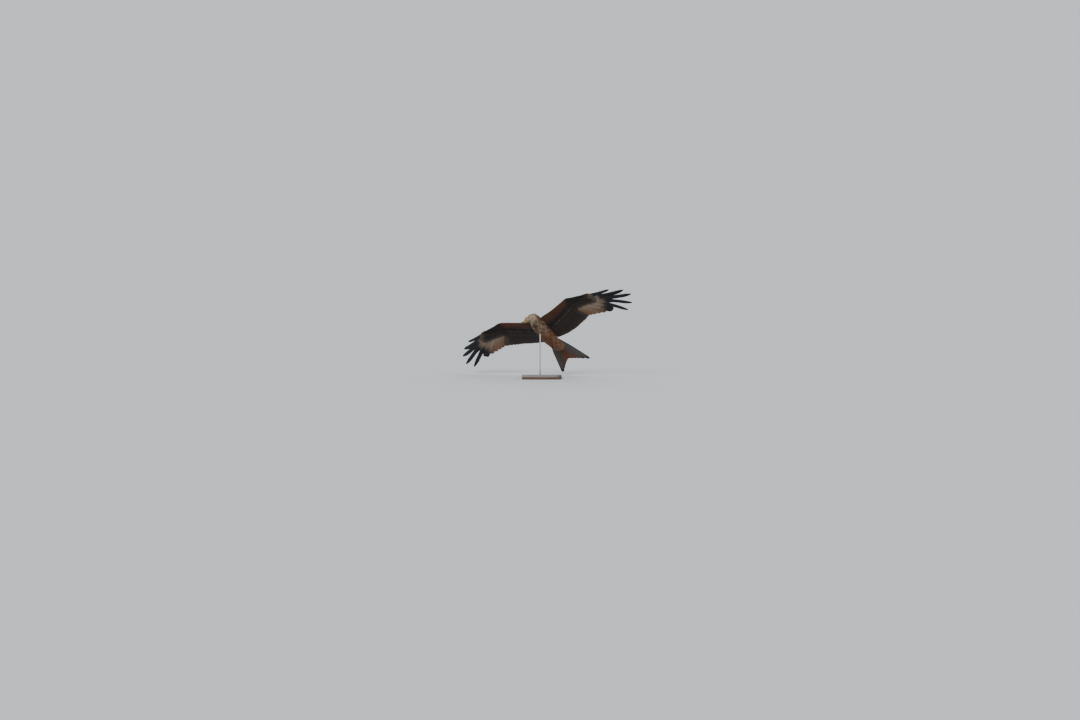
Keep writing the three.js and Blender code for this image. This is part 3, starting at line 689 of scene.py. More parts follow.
def feather_finish(name, roughness, barb_pitch, bar_pitch, grain, relief):
    """Keratin vanes: ground, bars, a dark shaft mark and a rim, with fine barbs that catch the light."""
    finish = Finish(name, Roughness=roughness, Specular_IOR_Level=0.22)
    finish.wear(Sheen_Weight=0.05, Sheen_Roughness=0.5)
    vane = finish.carried("vane", 1)
    length, aside, draw = (finish.node("ShaderNodeSeparateXYZ", sockets={0: vane}, out=k) for k in range(3))
    blotch = finish.mottle(grain)
    barb = finish.carried("barb", 2)
    bars = (barb * (1 / bar_pitch) + blotch * 4.2).worked("SINE").step(0.15, 0.75)
    ground = finish.carried("ground")
    darker = finish.blend(0.72, ground, solid("#140e0b"))
    look = finish.blend(bars * finish.carried("ground", 3), ground, darker)
    near_shaft = 1 - (abs(aside) + blotch * 0.25 - 0.12).step(0.06, 0.4)
    streak = near_shaft * length.step(0.12, 0.4) * finish.carried("streak", 3)
    look = finish.blend(streak, look, finish.carried("streak"))
    outer = abs(aside).worked("MAXIMUM", length * 1.02 - 0.04)
    rim = (outer + blotch * 0.3 - 0.15).step(0.62, 1.0) * finish.carried("rim", 3)
    look = finish.blend(rim, look, finish.carried("rim"))
    shade = finish.blend(draw, (0.78, 0.78, 0.78, 1), (1.2, 1.2, 1.2, 1))
    multiply = {"data_type": "RGBA", "blend_type": "MULTIPLY"}
    finish.wear(Base_Color=finish.node("ShaderNodeMix", multiply, {0: 1.0, 6: look, 7: shade}, 2))
    ridges = (barb * (2 * math.pi / barb_pitch)).worked("SINE")
    finish.bumped(ridges + blotch * 0.8, relief, 0.8)
    return finish


def ruled(curves, t, line):
    """Places on the sheet between a curve of roots and a curve of tips."""
    line = np.asarray(line, float)[..., None]
    return along(curves[0], t) * (1 - line) + along(curves[1], t) * line


def outline_of(stations, s, tip_from, tip_width):
    """Parts of the full width before and behind the shaft, closing in a rounded tip."""
    stations = np.asarray(stations, float)
    fine = np.linspace(0, 1, 41)
    lead, trail = (np.interp(fine, stations[:, 0], stations[:, k]) for k in (1, 2))
    soft = np.array((0.25, 0.5, 0.25))
    for _ in range(2):
        lead[1:-1], trail[1:-1] = (np.convolve(v, soft, "valid") for v in (lead, trail))
    close = np.sqrt(np.clip(1 - np.clip((s - tip_from) / (1 - tip_from), 0, 1) ** 2, 0, 1))
    close = np.maximum(close, tip_width)
    return np.interp(s, fine, lead) * close, np.interp(s, fine, trail) * close


def frayed(rng, rows, strength, splits):
    """How far each row of a vane's edge is drawn in, with small unevenness and a few parted barbs."""
    edge = 1 - np.abs(rng.normal(0, strength, rows))
    for _ in range(rng.poisson(splits)):
        at_row = rng.integers(rows // 4, rows - 3)
        edge[at_row] -= rng.uniform(0.04, 0.13)
        edge[at_row + 1] -= rng.uniform(0.01, 0.05)
    return edge


def sheet_of(curves, t, count, span, lift, s, aside, slot=1.0, bend=0.0, camber=0.9):
    """Places of one wing feather's middle sheet: rows along the shaft at s, columns beside it."""
    line = span[0] + (span[1] - span[0]) * s
    shaft = unit(along(curves[1], t) - along(curves[0], t))
    across = ruled(curves, t + 0.02, line) - ruled(curves, t - 0.02, line)
    across = unit(across - (across @ shaft)[:, None] * shaft)
    step = 1 / (count - 1)
    low, high = max(0, t - step), min(1, t + step)
    gap = ((ruled(curves, high, line) - ruled(curves, low, line)) * across).sum(axis=1) / (high - low) * step
    height = TIER_STEP / gap[:, None] * aside + (lift * (0.3 + 0.7 * smooth(s, 0, 0.5)))[:, None]
    height = height - camber * (aside / 20) ** 2
    free = np.maximum(0, (s - slot) / (1.0001 - slot)) ** 1.5 * bend
    places = ruled(curves, t, line)[:, None] + across[:, None] * aside[..., None]
    places[..., 2] += height + free[:, None]
    return places


def wing_feather(plumes, rng, sheet, outline, widths, looks, grid, patch, splits=1.2):
    """Adds one vane with its shaft. looks gives the facts of its upper and its lower sheet at s and aside."""
    rows, columns = grid
    s = np.linspace(0, 1, rows + 1) ** 0.92
    c = np.linspace(-1, 1, columns + 1)
    lead, trail = outline(s)
    before = widths[0] * lead * frayed(rng, rows + 1, 0.012, splits)
    behind = widths[1] * trail * frayed(rng, rows + 1, 0.014, splits)
    aside = c * np.where(c > 0, before[:, None], behind[:, None])
    aside[:, columns // 2] = 0
    places = sheet(s, aside)
    thick = EDGE_THICK + (VANE_THICK - EDGE_THICK) * (1 - np.abs(c)) * (1 - 0.7 * s[:, None])
    up = np.array((0.0, 0.0, 1.0))
    top, low = places + up * thick[..., None] / 2, places - up * thick[..., None] / 2
    span = np.linalg.norm(places[-1, columns // 2] - places[0, columns // 2])
    draw = rng.uniform(0.25, 0.75)
    base = {
        "vane": columns_of(s[:, None], c, draw),
        "barb": (span * s[:, None] - BARB_SLOPE * np.abs(aside))[..., None],
    }
    facts = []
    for face, look in enumerate(looks(s[:, None] + 0 * aside, c + 0 * aside)):
        u, v, w, h = patch
        map_u = u + w * (face + 0.08 + 0.84 * (c / 2 + 0.5))
        map_v = v + h * (0.02 + 0.96 * s[:, None])
        fact = dict(base, ground=look[0], rim=look[1], streak=look[2], patch=columns_of(map_u, map_v))
        facts.append({name: np.asarray(value)[None] for name, value in fact.items()})
    plumes.leaves(top[None], low[None], facts[0], facts[1])
    rows_at = np.linspace(0, rows * 0.97, rows // 2).astype(int)
    middle = places[rows_at, columns // 2]
    radius = SHAFT_RADIUS[0] + (SHAFT_RADIUS[1] - SHAFT_RADIUS[0]) * s[rows_at] ** 0.7
    radius = radius * min(1, span / 260 + 0.25)
    line = unit(np.gradient(middle, axis=0))
    over = unit(up - line * (line @ up)[:, None])
    under = looks(np.array([[0.72]]), np.array([[0.0]]))[1][0].reshape(-1)[:3]
    facts = {
        "vane": (0, 0, draw),
        "barb": 0,
        "rim": NO_MARK,
        "streak": NO_MARK,
        "ground": (*mixed(under, SHAFT_BROWN, 0.3), 0),
        "patch": (patch[0] + patch[2], patch[1] + patch[3] * 0.5),
    }
    plumes.quill(middle, np.cross(line, over), over, radius, facts)


def blank(shape, colour, bars=0.0):
    """One colour over a grid, with the strength of its bars."""
    return with_strength(np.broadcast_to(colour, shape + (3,)), bars)


NO_MARK = (0.0, 0.0, 0.0, 0.0)
SHAFT_BROWN = hue("#5a4a3b")
FLIGHT_BLACK = hue("#0d0d14")
FLIGHT_DARK = hue("#19110e")
FLIGHT_BASE = hue("#221915")
FADED_WINDOW = hue("#5c493b")
ARM_RIM, HAND_RIM = hue("#5a4433"), hue("#77593f")
UPPER_BASE, UPPER_RUFOUS = hue("#4a3122"), hue("#5c3a26")
WINDOW_PALE = hue("#84776a")
WINDOW_BUFF = hue("#726152")
# Painted glow: a rufous that stands for daylight shining through the inner feathers of the hand, laid on
# their lower faces.
PAINTED_GLOW_RUFOUS = hue("#704b36")
WINDOW_SHADE, WINDOW_EDGE = hue("#51473f"), hue("#6b5a4c")
UPPER_DARK = hue("#352720")


def secondary_looks(t):
    """Dark brown feathers of the arm, faintly barred; the window of the hand fades out on the outer ones."""
    near_hand = smooth(t, 0.84, 1.0)

    def looks(s, c):
        upper = with_strength(mixed(UPPER_DARK, UPPER_BASE, 0.4 * (1 - s)), 0.35)
        lower = mixed(FLIGHT_BASE, FLIGHT_DARK, smooth(s, 0.3, 0.8))
        lower = mixed(lower, FADED_WINDOW, near_hand * (0.75 - 0.45 * smooth(s, 0.6, 1.0)))
        lower = with_strength(lower, 0.25 + 0.2 * (c < 0) + 0.3 * near_hand)
        upper_rim, lower_rim = (blank(s.shape, ARM_RIM, strength) for strength in (0.35, 0.21))
        return (upper, upper_rim, NO_MARK), (lower, lower_rim, NO_MARK)

    return looks


def slot_of(k):
    """Where along a finger of the hand its outline narrows; the other feathers have no such place."""
    if k < FIRST_FINGER:
        return 1.0
    return FIRST_SLOT + (LAST_SLOT - FIRST_SLOT) * (k - FIRST_FINGER) / (HAND_FEATHERS - 1 - FIRST_FINGER)


def finger_looks(k):
    """The outer feathers of the hand: pale inside the slot, black from there to the tip."""

    def looks(s, c):
        black = smooth(s + 0.05 * c, slot_of(k) - 0.16, slot_of(k) + 0.02)
        pale = mixed(WINDOW_PALE, WINDOW_BUFF, smooth(s, 0.1, 0.5))
        pale = mixed(pale, WINDOW_SHADE, smooth(c, 0.0, 0.6) * 0.7)
        lower = with_strength(mixed(pale, FLIGHT_BLACK, black), (1 - black) * 0.3)
        upper = with_strength(mixed(UPPER_DARK, FLIGHT_BLACK, smooth(s, 0.3, 0.6)), 0.2)
        edge = blank(s.shape, FLIGHT_BLACK)
        return (upper, edge, NO_MARK), (lower, edge, NO_MARK)

    return looks


def window_looks(k):
    """The inner feathers of the hand: the pale barred window below, with a rufous painted glow of light
    shining through the inner ones, and dark tips next to the fingers.
    """
    inward = 1 - k / FIRST_FINGER

    def looks(s, c):
        black = smooth(k, 2.2, 4.0) * smooth(s + 0.06 * c, 0.52, 0.82)
        pale = mixed(WINDOW_PALE, WINDOW_BUFF, smooth(s, 0.15, 0.6))
        # Painted glow of light shining through the feathers, strongest on the innermost.
        pale = mixed(pale, PAINTED_GLOW_RUFOUS, smooth(s, 0.35, 0.85) * (0.15 + 0.75 * inward))
        pale = mixed(pale, WINDOW_EDGE, smooth(c, 0.1, 0.8) * 0.5)
        lower = with_strength(mixed(pale, FLIGHT_BLACK, black), 0.3 + 0.45 * inward * smooth(s, 0.2, 0.6))
        upper = mixed(UPPER_DARK, UPPER_RUFOUS, 0.7 * inward)
        upper = with_strength(mixed(upper, FLIGHT_BLACK, black), 0.6)
        edge = blank(s.shape, HAND_RIM, 0.3 * (1 - black))
        return (upper, edge, NO_MARK), (lower, edge, NO_MARK)

    return looks


def round_outline(s):
    """The outline of a broad feather with a rounded tip."""
    return outline_of(ROUND_OUTLINE, s, 0.9, 0.12)


def finger_outline(slot):
    """The outline of a finger, which narrows beyond its slot."""
    stations = (
        (0, 0.7, 0.35),
        (slot * 0.65, 0.95, 0.9),
        (slot, 1, 0.95),
        (slot + 0.11, 0.86, 0.62),
        (0.89, 0.78, 0.56),
        (1, 0.62, 0.46),
    )
    return lambda s: outline_of(stations, s, 0.84, 0.1)


flight_keratin = feather_finish(
    "flight_feather", roughness=0.62, barb_pitch=0.9, bar_pitch=2.6, grain=60, relief=0.00009
)
SIDES = (("left", lambda p: p), ("right", mirrored))
for seed, (side, over) in enumerate(SIDES):
    rng = np.random.default_rng(410 + seed)
    arm_plumes, hand_plumes = Plumes(), Plumes()
    for k in range(ARM_FEATHERS):
        t = k / (ARM_FEATHERS - 1)
        end = 1 + rng.uniform(-0.012, 0.012)

        def sheet(s, aside):
            return sheet_of(ARM, t, ARM_FEATHERS, (0, end), 0, s, aside)

        patch = (k / ARM_FEATHERS, 0, 0.5 / ARM_FEATHERS, 1)
        wing_feather(arm_plumes, rng, sheet, round_outline, ARM_WIDTHS, secondary_looks(t), ARM_GRID, patch)
    for k in range(HAND_FEATHERS):
        if k < FIRST_FINGER:
            outline, looks, widths = round_outline, window_looks(k), (HAND_WIDTHS[0], HAND_WIDTHS[1] + 2 * k)
        else:
            outline, looks, widths = finger_outline(slot_of(k)), finger_looks(k), FINGER_WIDTHS
        if k == HAND_FEATHERS - 1:
            widths = [LAST_NARROWED * width for width in FINGER_WIDTHS]

        def sheet(s, aside):
            t = k / (HAND_FEATHERS - 1)
            return sheet_of(HAND, t, HAND_FEATHERS, (0, 1), 0, s, aside, slot_of(k), FINGER_BEND[k])

        patch = (k / HAND_FEATHERS, 0, 0.5 / HAND_FEATHERS, 1)
        wing_feather(hand_plumes, rng, sheet, outline, widths, looks, HAND_GRID, patch)
    flank_looks = secondary_looks(0)
    for k in range(FLANK_VANES):

        def sheet(s, aside):
            return sheet_of(FLANK, k / (FLANK_VANES - 1), FLANK_VANES, (0, 1), 0, s, aside)

        patch = ((k + 0.5) / ARM_FEATHERS, 0, 0.2 / ARM_FEATHERS, 0.5)
        wing_feather(arm_plumes, rng, sheet, round_outline, FLANK_WIDTHS, flank_looks, FLANK_GRID, patch)
    arm_plumes.made(f"secondaries_{side}", flight_keratin, "wing_feather", over)
    hand_plumes.made(f"primaries_{side}", flight_keratin, "finger_feather", over)


# The greater coverts: one row above and one below, which grow from the skin of arm and hand over the roots of
# the flight feathers. They are softer than those and stand off them by a few millimetres.
COVERT_LIFT = 5.6
COVERT_WIDTHS = (11, 17)
COVERT_GRID = (22, 8)
ARM_COVERTS = 20
HAND_COVERTS = 13
COVERT_OUTLINE = ((0, 0.8, 0.7), (0.4, 0.95, 0.95), (0.85, 1, 1), (1, 0.9, 0.9))
SHAFT_DARK = hue("#17110e")
COVERT_BROWN, COVERT_BASE, COVERT_RIM = hue("#3c2b21"), hue("#5b3f2b"), hue("#8a6847")
COVERT_INSIDE = hue("#241a15")
UNDER_DARK, UNDER_BROWN, UNDER_RIM = hue("#19110f"), hue("#2d231d"), hue("#463930")
CARPAL_DARK, CARPAL_PALE = hue("#17110f"), hue("#6d5f52")


def covert_outline(s):
    """The outline of a soft covert, broad to its rounded tip."""
    return outline_of(COVERT_OUTLINE, s, 0.8, 0.2)


def upper_covert_looks(s, c):
    """Brown with a buff rim above, and plain dark on the hidden face."""
    ground = with_strength(mixed(COVERT_BROWN, COVERT_BASE, (1 - s) * 0.5), 0.1)
    inner = blank(s.shape, COVERT_INSIDE, 0.1)
    mark = blank(s.shape, SHAFT_DARK, 0.6)
    rim, inner_rim = blank(s.shape, COVERT_RIM, 0.55), blank(s.shape, COVERT_RIM * 0.3, 0.275)
    return (ground, rim, mark), (inner, inner_rim, mark)


def under_facts(tone):
    """The facts of an under covert, the same on both faces."""
    shape = tone.shape[:-1]
    return ((with_strength(tone, 0.15), blank(shape, UNDER_RIM, 0.3), blank(shape, SHAFT_DARK, 0.4)),) * 2


def arm_covert_looks(s, c):
    """Below the arm they are dark, a little browner to the tip."""
    return under_facts(mixed(UNDER_DARK, UNDER_BROWN, 0.3 * s))


def hand_covert_looks(s, c):
    """Below the hand they make the dark carpal patch, whose edge fades into the window."""
    return under_facts(mixed(CARPAL_DARK, CARPAL_PALE, smooth(s, 0.6, 0.97) * 0.4))


covert_keratin = feather_finish(
    "covert_feather", roughness=0.72, barb_pitch=0.75, bar_pitch=2.2, grain=80, relief=0.00007
)
for seed, (side, over) in enumerate(SIDES):
    for face, sign in (("upper", 1), ("under", -1)):
        rng = np.random.default_rng(520 + seed * 7 + sign)
        plumes = Plumes()
        for hand, curves, count in ((False, ARM, ARM_COVERTS), (True, HAND, HAND_COVERTS)):
            looks = upper_covert_looks if sign > 0 else hand_covert_looks if hand else arm_covert_looks
            for k in range(count):
                t = k / (count - 1)
                end = 0.3 + 0.14 * (1 - t) if hand else 0.45 + 0.01 * sign
                end *= 1 + rng.uniform(-0.03, 0.03)

                def sheet(s, aside):
                    return sheet_of(curves, t, count, (-0.02, end), sign * COVERT_LIFT, s, aside, camber=1.4)

                across = 1 / (ARM_COVERTS + HAND_COVERTS)
                patch = ((k + ARM_COVERTS * hand) * across, 0, 0.5 * across, 1)
                wing_feather(
                    plumes, rng, sheet, covert_outline, COVERT_WIDTHS, looks, COVERT_GRID, patch, splits=0.6
                )
        plumes.made(f"greater_coverts_{side}_{face}", covert_keratin, "wing_feather", over)


# The tail: twelve feathers in a shallow fork, the middle pair on top and each pair beyond it a step lower.
# They are bright rufous above and greyer below, with dark outer corners.
TAIL_ROOT = np.array((-190.0, 0.0, -14.0))
TAIL_BACK = np.array((-0.9994, -0.0286, -0.0151))
TAIL_ACROSS = np.array((-0.029, 0.979, 0.202))
TAIL_UP = unit(np.cross(TAIL_ACROSS, TAIL_BACK))
TAIL_HALF_SPREAD = 14.8
TAIL_MIDDLE = -4.3
TAIL_LENGTH = (232, 242, 256, 273, 296, 324)
TAIL_ROOT_SPREAD = 37
TAIL_MIDDLE_ROOT = 4
TAIL_WIDTHS = (10.5, 19.5)
TAIL_GRID = (60, 14)
TAIL_STEP = 1.5
TAIL_OUTLINE = ((0, 0.14, 0.1), (0.12, 0.45, 0.35), (0.35, 0.95, 0.85), (0.9, 1, 0.97), (1, 0.95, 0.7))
TAIL_RUFOUS, TAIL_DEEP, TAIL_CORNER = hue("#a65a2e"), hue("#8a4a2a"), hue("#241d1c")
TAIL_LOW_MIDDLE, TAIL_LOW_OUTER = hue("#4b3024"), hue("#48423d")
# Painted glow: the rufous on the lower faces of the middle tail feathers stands for light shining through the
# tail.
TAIL_LOW_GLOW, TAIL_LOW_CORNER = hue("#5b311f"), hue("#16171f")
TAIL_RIM, TAIL_LOW_RIM = hue("#c58f5e"), hue("#8a5a3a")


def tail_sheet(angle, length, across, level):
    """Places of a tail feather's middle sheet."""
    turn = math.radians(angle)
    c, n = math.cos(turn), math.sin(turn)
    beside = TAIL_ACROSS * c - TAIL_BACK * n

    def sheet(s, aside):
        middle = TAIL_ROOT + TAIL_ACROSS * across + TAIL_UP * level
        middle = middle + np.outer(length * s, TAIL_ACROSS * n + TAIL_BACK * c)
        places = middle[:, None] + beside * aside[..., None]
        return places - TAIL_UP * (0.7 * (aside / 15) ** 2)[..., None]

    return sheet


def tail_looks(outer):
    """Rufous above, greyer below with dark tips and a rufous painted glow of light shining through the middle
    ones; outer is 0 on the middle pair and 1 on the last pair.
    """
    middle = 1 - smooth(outer, 0.15, 0.7)

    def looks(s, c):
        dark = smooth(s, 0.84, 0.97) * smooth(outer, 0.1, 0.9)
        dark = dark + 0.75 * smooth(c, 0.2, 0.7) * smooth(outer, 0.7, 1.0) * smooth(s, 0.35, 0.8)
        dark = np.clip(dark, 0, 1)
        upper = mixed(mixed(TAIL_RUFOUS, TAIL_DEEP, smooth(s, 0.4, 0.9)), TAIL_CORNER, dark)
        lower = mixed(TAIL_LOW_OUTER, TAIL_LOW_MIDDLE, middle)
        # Painted glow of light shining through the middle feathers, towards their tips.
        lower = mixed(lower, TAIL_LOW_GLOW, smooth(s, 0.45, 0.9) * middle)
        lower = mixed(lower, TAIL_LOW_CORNER, dark)
        return (
            (with_strength(upper, 0.3), blank(s.shape, TAIL_RIM, 0.3 * (1 - outer)), NO_MARK),
            (with_strength(lower, 0.35), blank(s.shape, TAIL_LOW_RIM, 0.22 * (1 - outer)), NO_MARK),
        )

    return looks


def tail_outline(s):
    """The outline of a tail feather, narrow at its root and cut off at a slant."""
    return outline_of(TAIL_OUTLINE, s, 0.92, 0.12)


tail_keratin = feather_finish(
    "tail_feather", roughness=0.66, barb_pitch=0.9, bar_pitch=2.4, grain=60, relief=0.00009
)
rng = np.random.default_rng(611)
plumes = Plumes()
for side in (1, -1):
    for k, length in enumerate(TAIL_LENGTH):
        f = k / (len(TAIL_LENGTH) - 1)
        middle = TAIL_MIDDLE + side * 1.8
        angle = middle + (side * TAIL_HALF_SPREAD - middle) * f
        level = TAIL_STEP * (3 if k == 0 and side > 0 else 2 - k)
        across = side * (TAIL_MIDDLE_ROOT + (TAIL_ROOT_SPREAD - TAIL_MIDDLE_ROOT) * f)
        base_sheet = tail_sheet(angle, length, across, level)

        def sheet(s, aside):
            return base_sheet(s, side * aside)

        patch = ((k + 6 * (side < 0)) / 12, 0, 0.5 / 12, 1)
        wing_feather(plumes, rng, sheet, tail_outline, TAIL_WIDTHS, tail_looks(f), TAIL_GRID, patch)
plumes.made("tail_feathers", tail_keratin, "tail_feather")


# The alula, or bastard wing: four short stiff feathers that grow on the thumb. They lie flat along the
# leading edge of the hand, each one on top of the longer one before it.
ALULA_ROOT = np.array((109.0, 313.0, 43.0))
ALULA_WIDTHS = (6, 11)
ALULA_GRID = (22, 8)
ALULA_BASE, ALULA_TIP, ALULA_RIM = hue("#33261f"), hue("#1b1717"), hue("#6d5340")
ALULA_REACH = (104, 86, 68, 50)
ALULA_SWEEP = (14, 20, 27, 35)
for seed, (side, over) in enumerate(SIDES):
    rng = np.random.default_rng(560 + seed)
    plumes = Plumes()
    for k, (reach, sweep) in enumerate(zip(ALULA_REACH, ALULA_SWEEP)):
        turn = math.radians(sweep)
        lie = np.array((-math.sin(turn), math.cos(turn), -0.035))
        beside = np.array((math.cos(turn), math.sin(turn), 0.25))
        root = ALULA_ROOT + (-2.5 * k, 4.0 * k, 1.3 * k)

        def sheet(s, aside):
            places = (root + np.outer(reach * s, lie))[:, None] + beside * aside[..., None]
            places[..., 2] -= 0.012 * aside**2
            return places

        def looks(s, c):
            ground = with_strength(mixed(ALULA_BASE, ALULA_TIP, s), 0.1)
            return ((ground, blank(s.shape, ALULA_RIM, 0.4), blank(s.shape, SHAFT_DARK, 0.4)),) * 2

        patch = (k / 4, 0, 0.125, 1)
        wing_feather(plumes, rng, sheet, covert_outline, ALULA_WIDTHS, looks, ALULA_GRID, patch, splits=0.5)
    plumes.made(f"alula_{side}", covert_keratin, "wing_feather", over)


# The small coverts of the wings, in rows from the leading edge back to the greater coverts, above and below.
# Each row overlaps the one behind it, and the feathers grow longer from the front edge backwards.
FRONT_AT = (0.0, 0.5, 1.6, 3.6, 7.2, 11.6, 16.8, 22.8, 29.6)
ROW_AT = (*FRONT_AT, 37.2, 45.6, 54.8, 64.8, 75.6, 87.2, 99.6, 112.8, 126.0)
REAR_ROW = 5.0
FRONT_ROWS = 20
ROWS_FROM, ROWS_TO = 44, 446
SHORTEST, LONGEST, REAR_LENGTH = 9.5, 36.5, 36
NARROW_CHORD = 12
WING_CURVE = 160.0
TUFT_ROWS = 5
TUFT_STATIONS = np.array([(0, 0.32), (0.25, 0.74), (0.55, 1.0), (0.8, 0.93), (0.93, 0.7), (1, 0.42)])
TUFT_PATCH = 0.0015
TUFT_THICK = 0.2
TUFT_EDGE = 0.05
TUFT_CURL = 0.012
STRETCHED = 0.8
STILL_FACING = 0.2
SKIN_TREE = BVHTree.FromPolygons(SKIN_POINTS.tolist(), SKIN_FACES.tolist())


def on_skin(points):
    """The nearest places on the skin, with the skin's normals there."""
    places = np.empty((len(points), 3))
    normals = np.empty((len(points), 3))
    for i, point in enumerate(points):
        places[i], _, face, _ = SKIN_TREE.find_nearest(Vector(point))
        normals[i] = SKIN_NORMALS[SKIN_FACES[face]].mean(axis=0)
    return places, unit(normals)


def tufts(plumes, rng, roots, normals, lies, length, width, depth, curve, marks, patches, **more):
    """Adds small feathers rooted in the skin, that rise to the coat's depth and bend with the body.

    More can tell how ragged and pointed they are, their columns, and which hang loose off the skin.
    """
    ragged, pointed = more.get("ragged", 0.05), more.get("pointed", 0.0)
    count, columns = len(roots), more.get("columns", 6)
    s = np.linspace(0, 1, TUFT_ROWS + 1) ** 0.9
    c = np.linspace(-1, 1, columns + 1)
    long, wide, deep, bend = (v.reshape(-1, 1, 1, 1) for v in (length, width, depth, curve))
    stride = length[:, None]
    half_way, normals_1 = on_skin(roots + lies * (stride / 2))
    lies_1 = unit(lies - normals_1 * (lies * normals_1).sum(axis=1, keepdims=True))
    far_end, normals_2 = on_skin(half_way + lies_1 * (stride / 2))
    # Where the skin turns away or folds back, the feather goes straight on from its root.
    stuck = np.linalg.norm(far_end - roots, axis=1) < STRETCHED * length
    stuck |= ((normals_2 * normals).sum(axis=1) < STILL_FACING) | more.get("loose", False)
    far_end[stuck] = (roots + lies * stride - normals * (0.06 * stride))[stuck]
    half_way[stuck] = ((roots + far_end) / 2 + normals * (0.02 * stride))[stuck]
    normals_1[stuck] = normals_2[stuck] = normals[stuck]
    fray = rng.normal(0, ragged, (count, columns + 1))
    reach = s[:, None] * (1 - (0.14 + 0.34 * pointed) * c**2 * s[:, None] ** 2)
    reach = (reach + fray[:, None] * s[:, None] ** 4)[..., None]

    def between(a, b, d):
        a, b, d = (v[:, None, None] for v in (a, b, d))
        return a * (1 - reach) * (1 - 2 * reach) + b * 4 * reach * (1 - reach) + d * reach * (2 * reach - 1)

    middle = between(roots, half_way, far_end)
    up = unit(between(normals, normals_1, normals_2))
    side = unit(np.cross(normals, lies))[:, None, None]
    side = unit(side - up * (side * up).sum(axis=-1, keepdims=True))
    shape = np.interp(s, *TUFT_STATIONS.T) * (1 - pointed * s**2)
    half = wide / 2 * shape[:, None, None] * c[:, None]
    grown = 1 - (1 - np.clip(reach, 0, 1)) ** 1.7
    rise = deep * grown * rng.uniform(0.82, 1.18, (count, 1, 1, 1)) - (1 - reach) ** 3
    rise = rise + half * rng.normal(0, 0.045, (count, 1, 1, 1))
    rise = rise - half**2 * (0.5 / bend + TUFT_CURL)
    top = middle + side * half + up * rise
    thick = (TUFT_THICK * (1 - np.abs(c)) * (1 - 0.75 * s[:, None]) + TUFT_EDGE)[..., None]
    draw = rng.uniform(0, 1, (count, 1, 1))
    facts = {
        "vane": columns_of(s[:, None], c, draw),
        "barb": reach * long - BARB_SLOPE * np.abs(half),
        "patch": patches[:, None, None] + TUFT_PATCH * columns_of(c, 2 * s[:, None] - 1),
    }
    for name, values in zip(("ground", "rim", "streak"), marks):
        facts[name] = values[:, None, None]
    plumes.leaves(top, top - up * thick, facts, shared=True)


def turned(rng, lies, normals, spread):
    """Directions turned a little at random about the skin's normal."""
    angle = rng.normal(0, spread, len(lies))[:, None]
    return unit(lies * np.cos(angle) + np.cross(normals, lies) * np.sin(angle))


def flight_lie(y):
    """The direction of the flight feathers at places out along the wing."""
    t = np.linspace(0, 1, 20)
    ys = np.concatenate([along(ARM_ROOTS, t)[:, 1], along(HAND_ROOTS, t)[:, 1]])
    lies = np.concatenate([unit(along(c[1], t) - along(c[0], t)) for c in (ARM, HAND)])
    return np.stack([np.interp(y, ys, lies[:, k]) for k in range(3)], axis=-1)


ROW_BROWN, ROW_REAR = hue("#4a3020"), hue("#5d4330")
ROW_RIM, ROW_REAR_RIM = hue("#8a5730"), hue("#b98e63")
LINING_RUFOUS, LINING_DARK, LINING_HAND = hue("#42271b"), hue("#1c1411"), hue("#15100e")
LINING_RIM, LINING_DARK_RIM, LINING_HAND_RIM = hue("#5d3b28"), hue("#31261f"), hue("#2b221e")
LINING_PALE_RIM = hue("#86705a")


def small_covert_marks(sign, back, wrist):
    """Colours of the small coverts: back is 0 in front and 1 at the rear edge, wrist is 1 on the hand."""
    if sign > 0:
        ground = mixed(ROW_BROWN, ROW_REAR, back)
        rim = mixed(ROW_RIM, ROW_REAR_RIM, smooth(back, 0.35, 0.9) * (1 - wrist))
        strength = 0.5 + 0.25 * back
    else:
        last = smooth(back, 0.86, 0.97)
        ground = mixed(mixed(LINING_RUFOUS, LINING_DARK, smooth(back, 0.25, 0.7)), LINING_HAND, wrist)
        rim = mixed(mixed(LINING_RIM, LINING_DARK_RIM, smooth(back, 0.3, 0.75)), LINING_HAND_RIM, wrist)
        rim = mixed(rim, LINING_PALE_RIM, last * (1 - wrist))
        strength = 0.45 + 0.2 * last
    return with_strength(ground, 0), with_strength(rim, strength), blank(back.shape, SHAFT_DARK, 0.7)


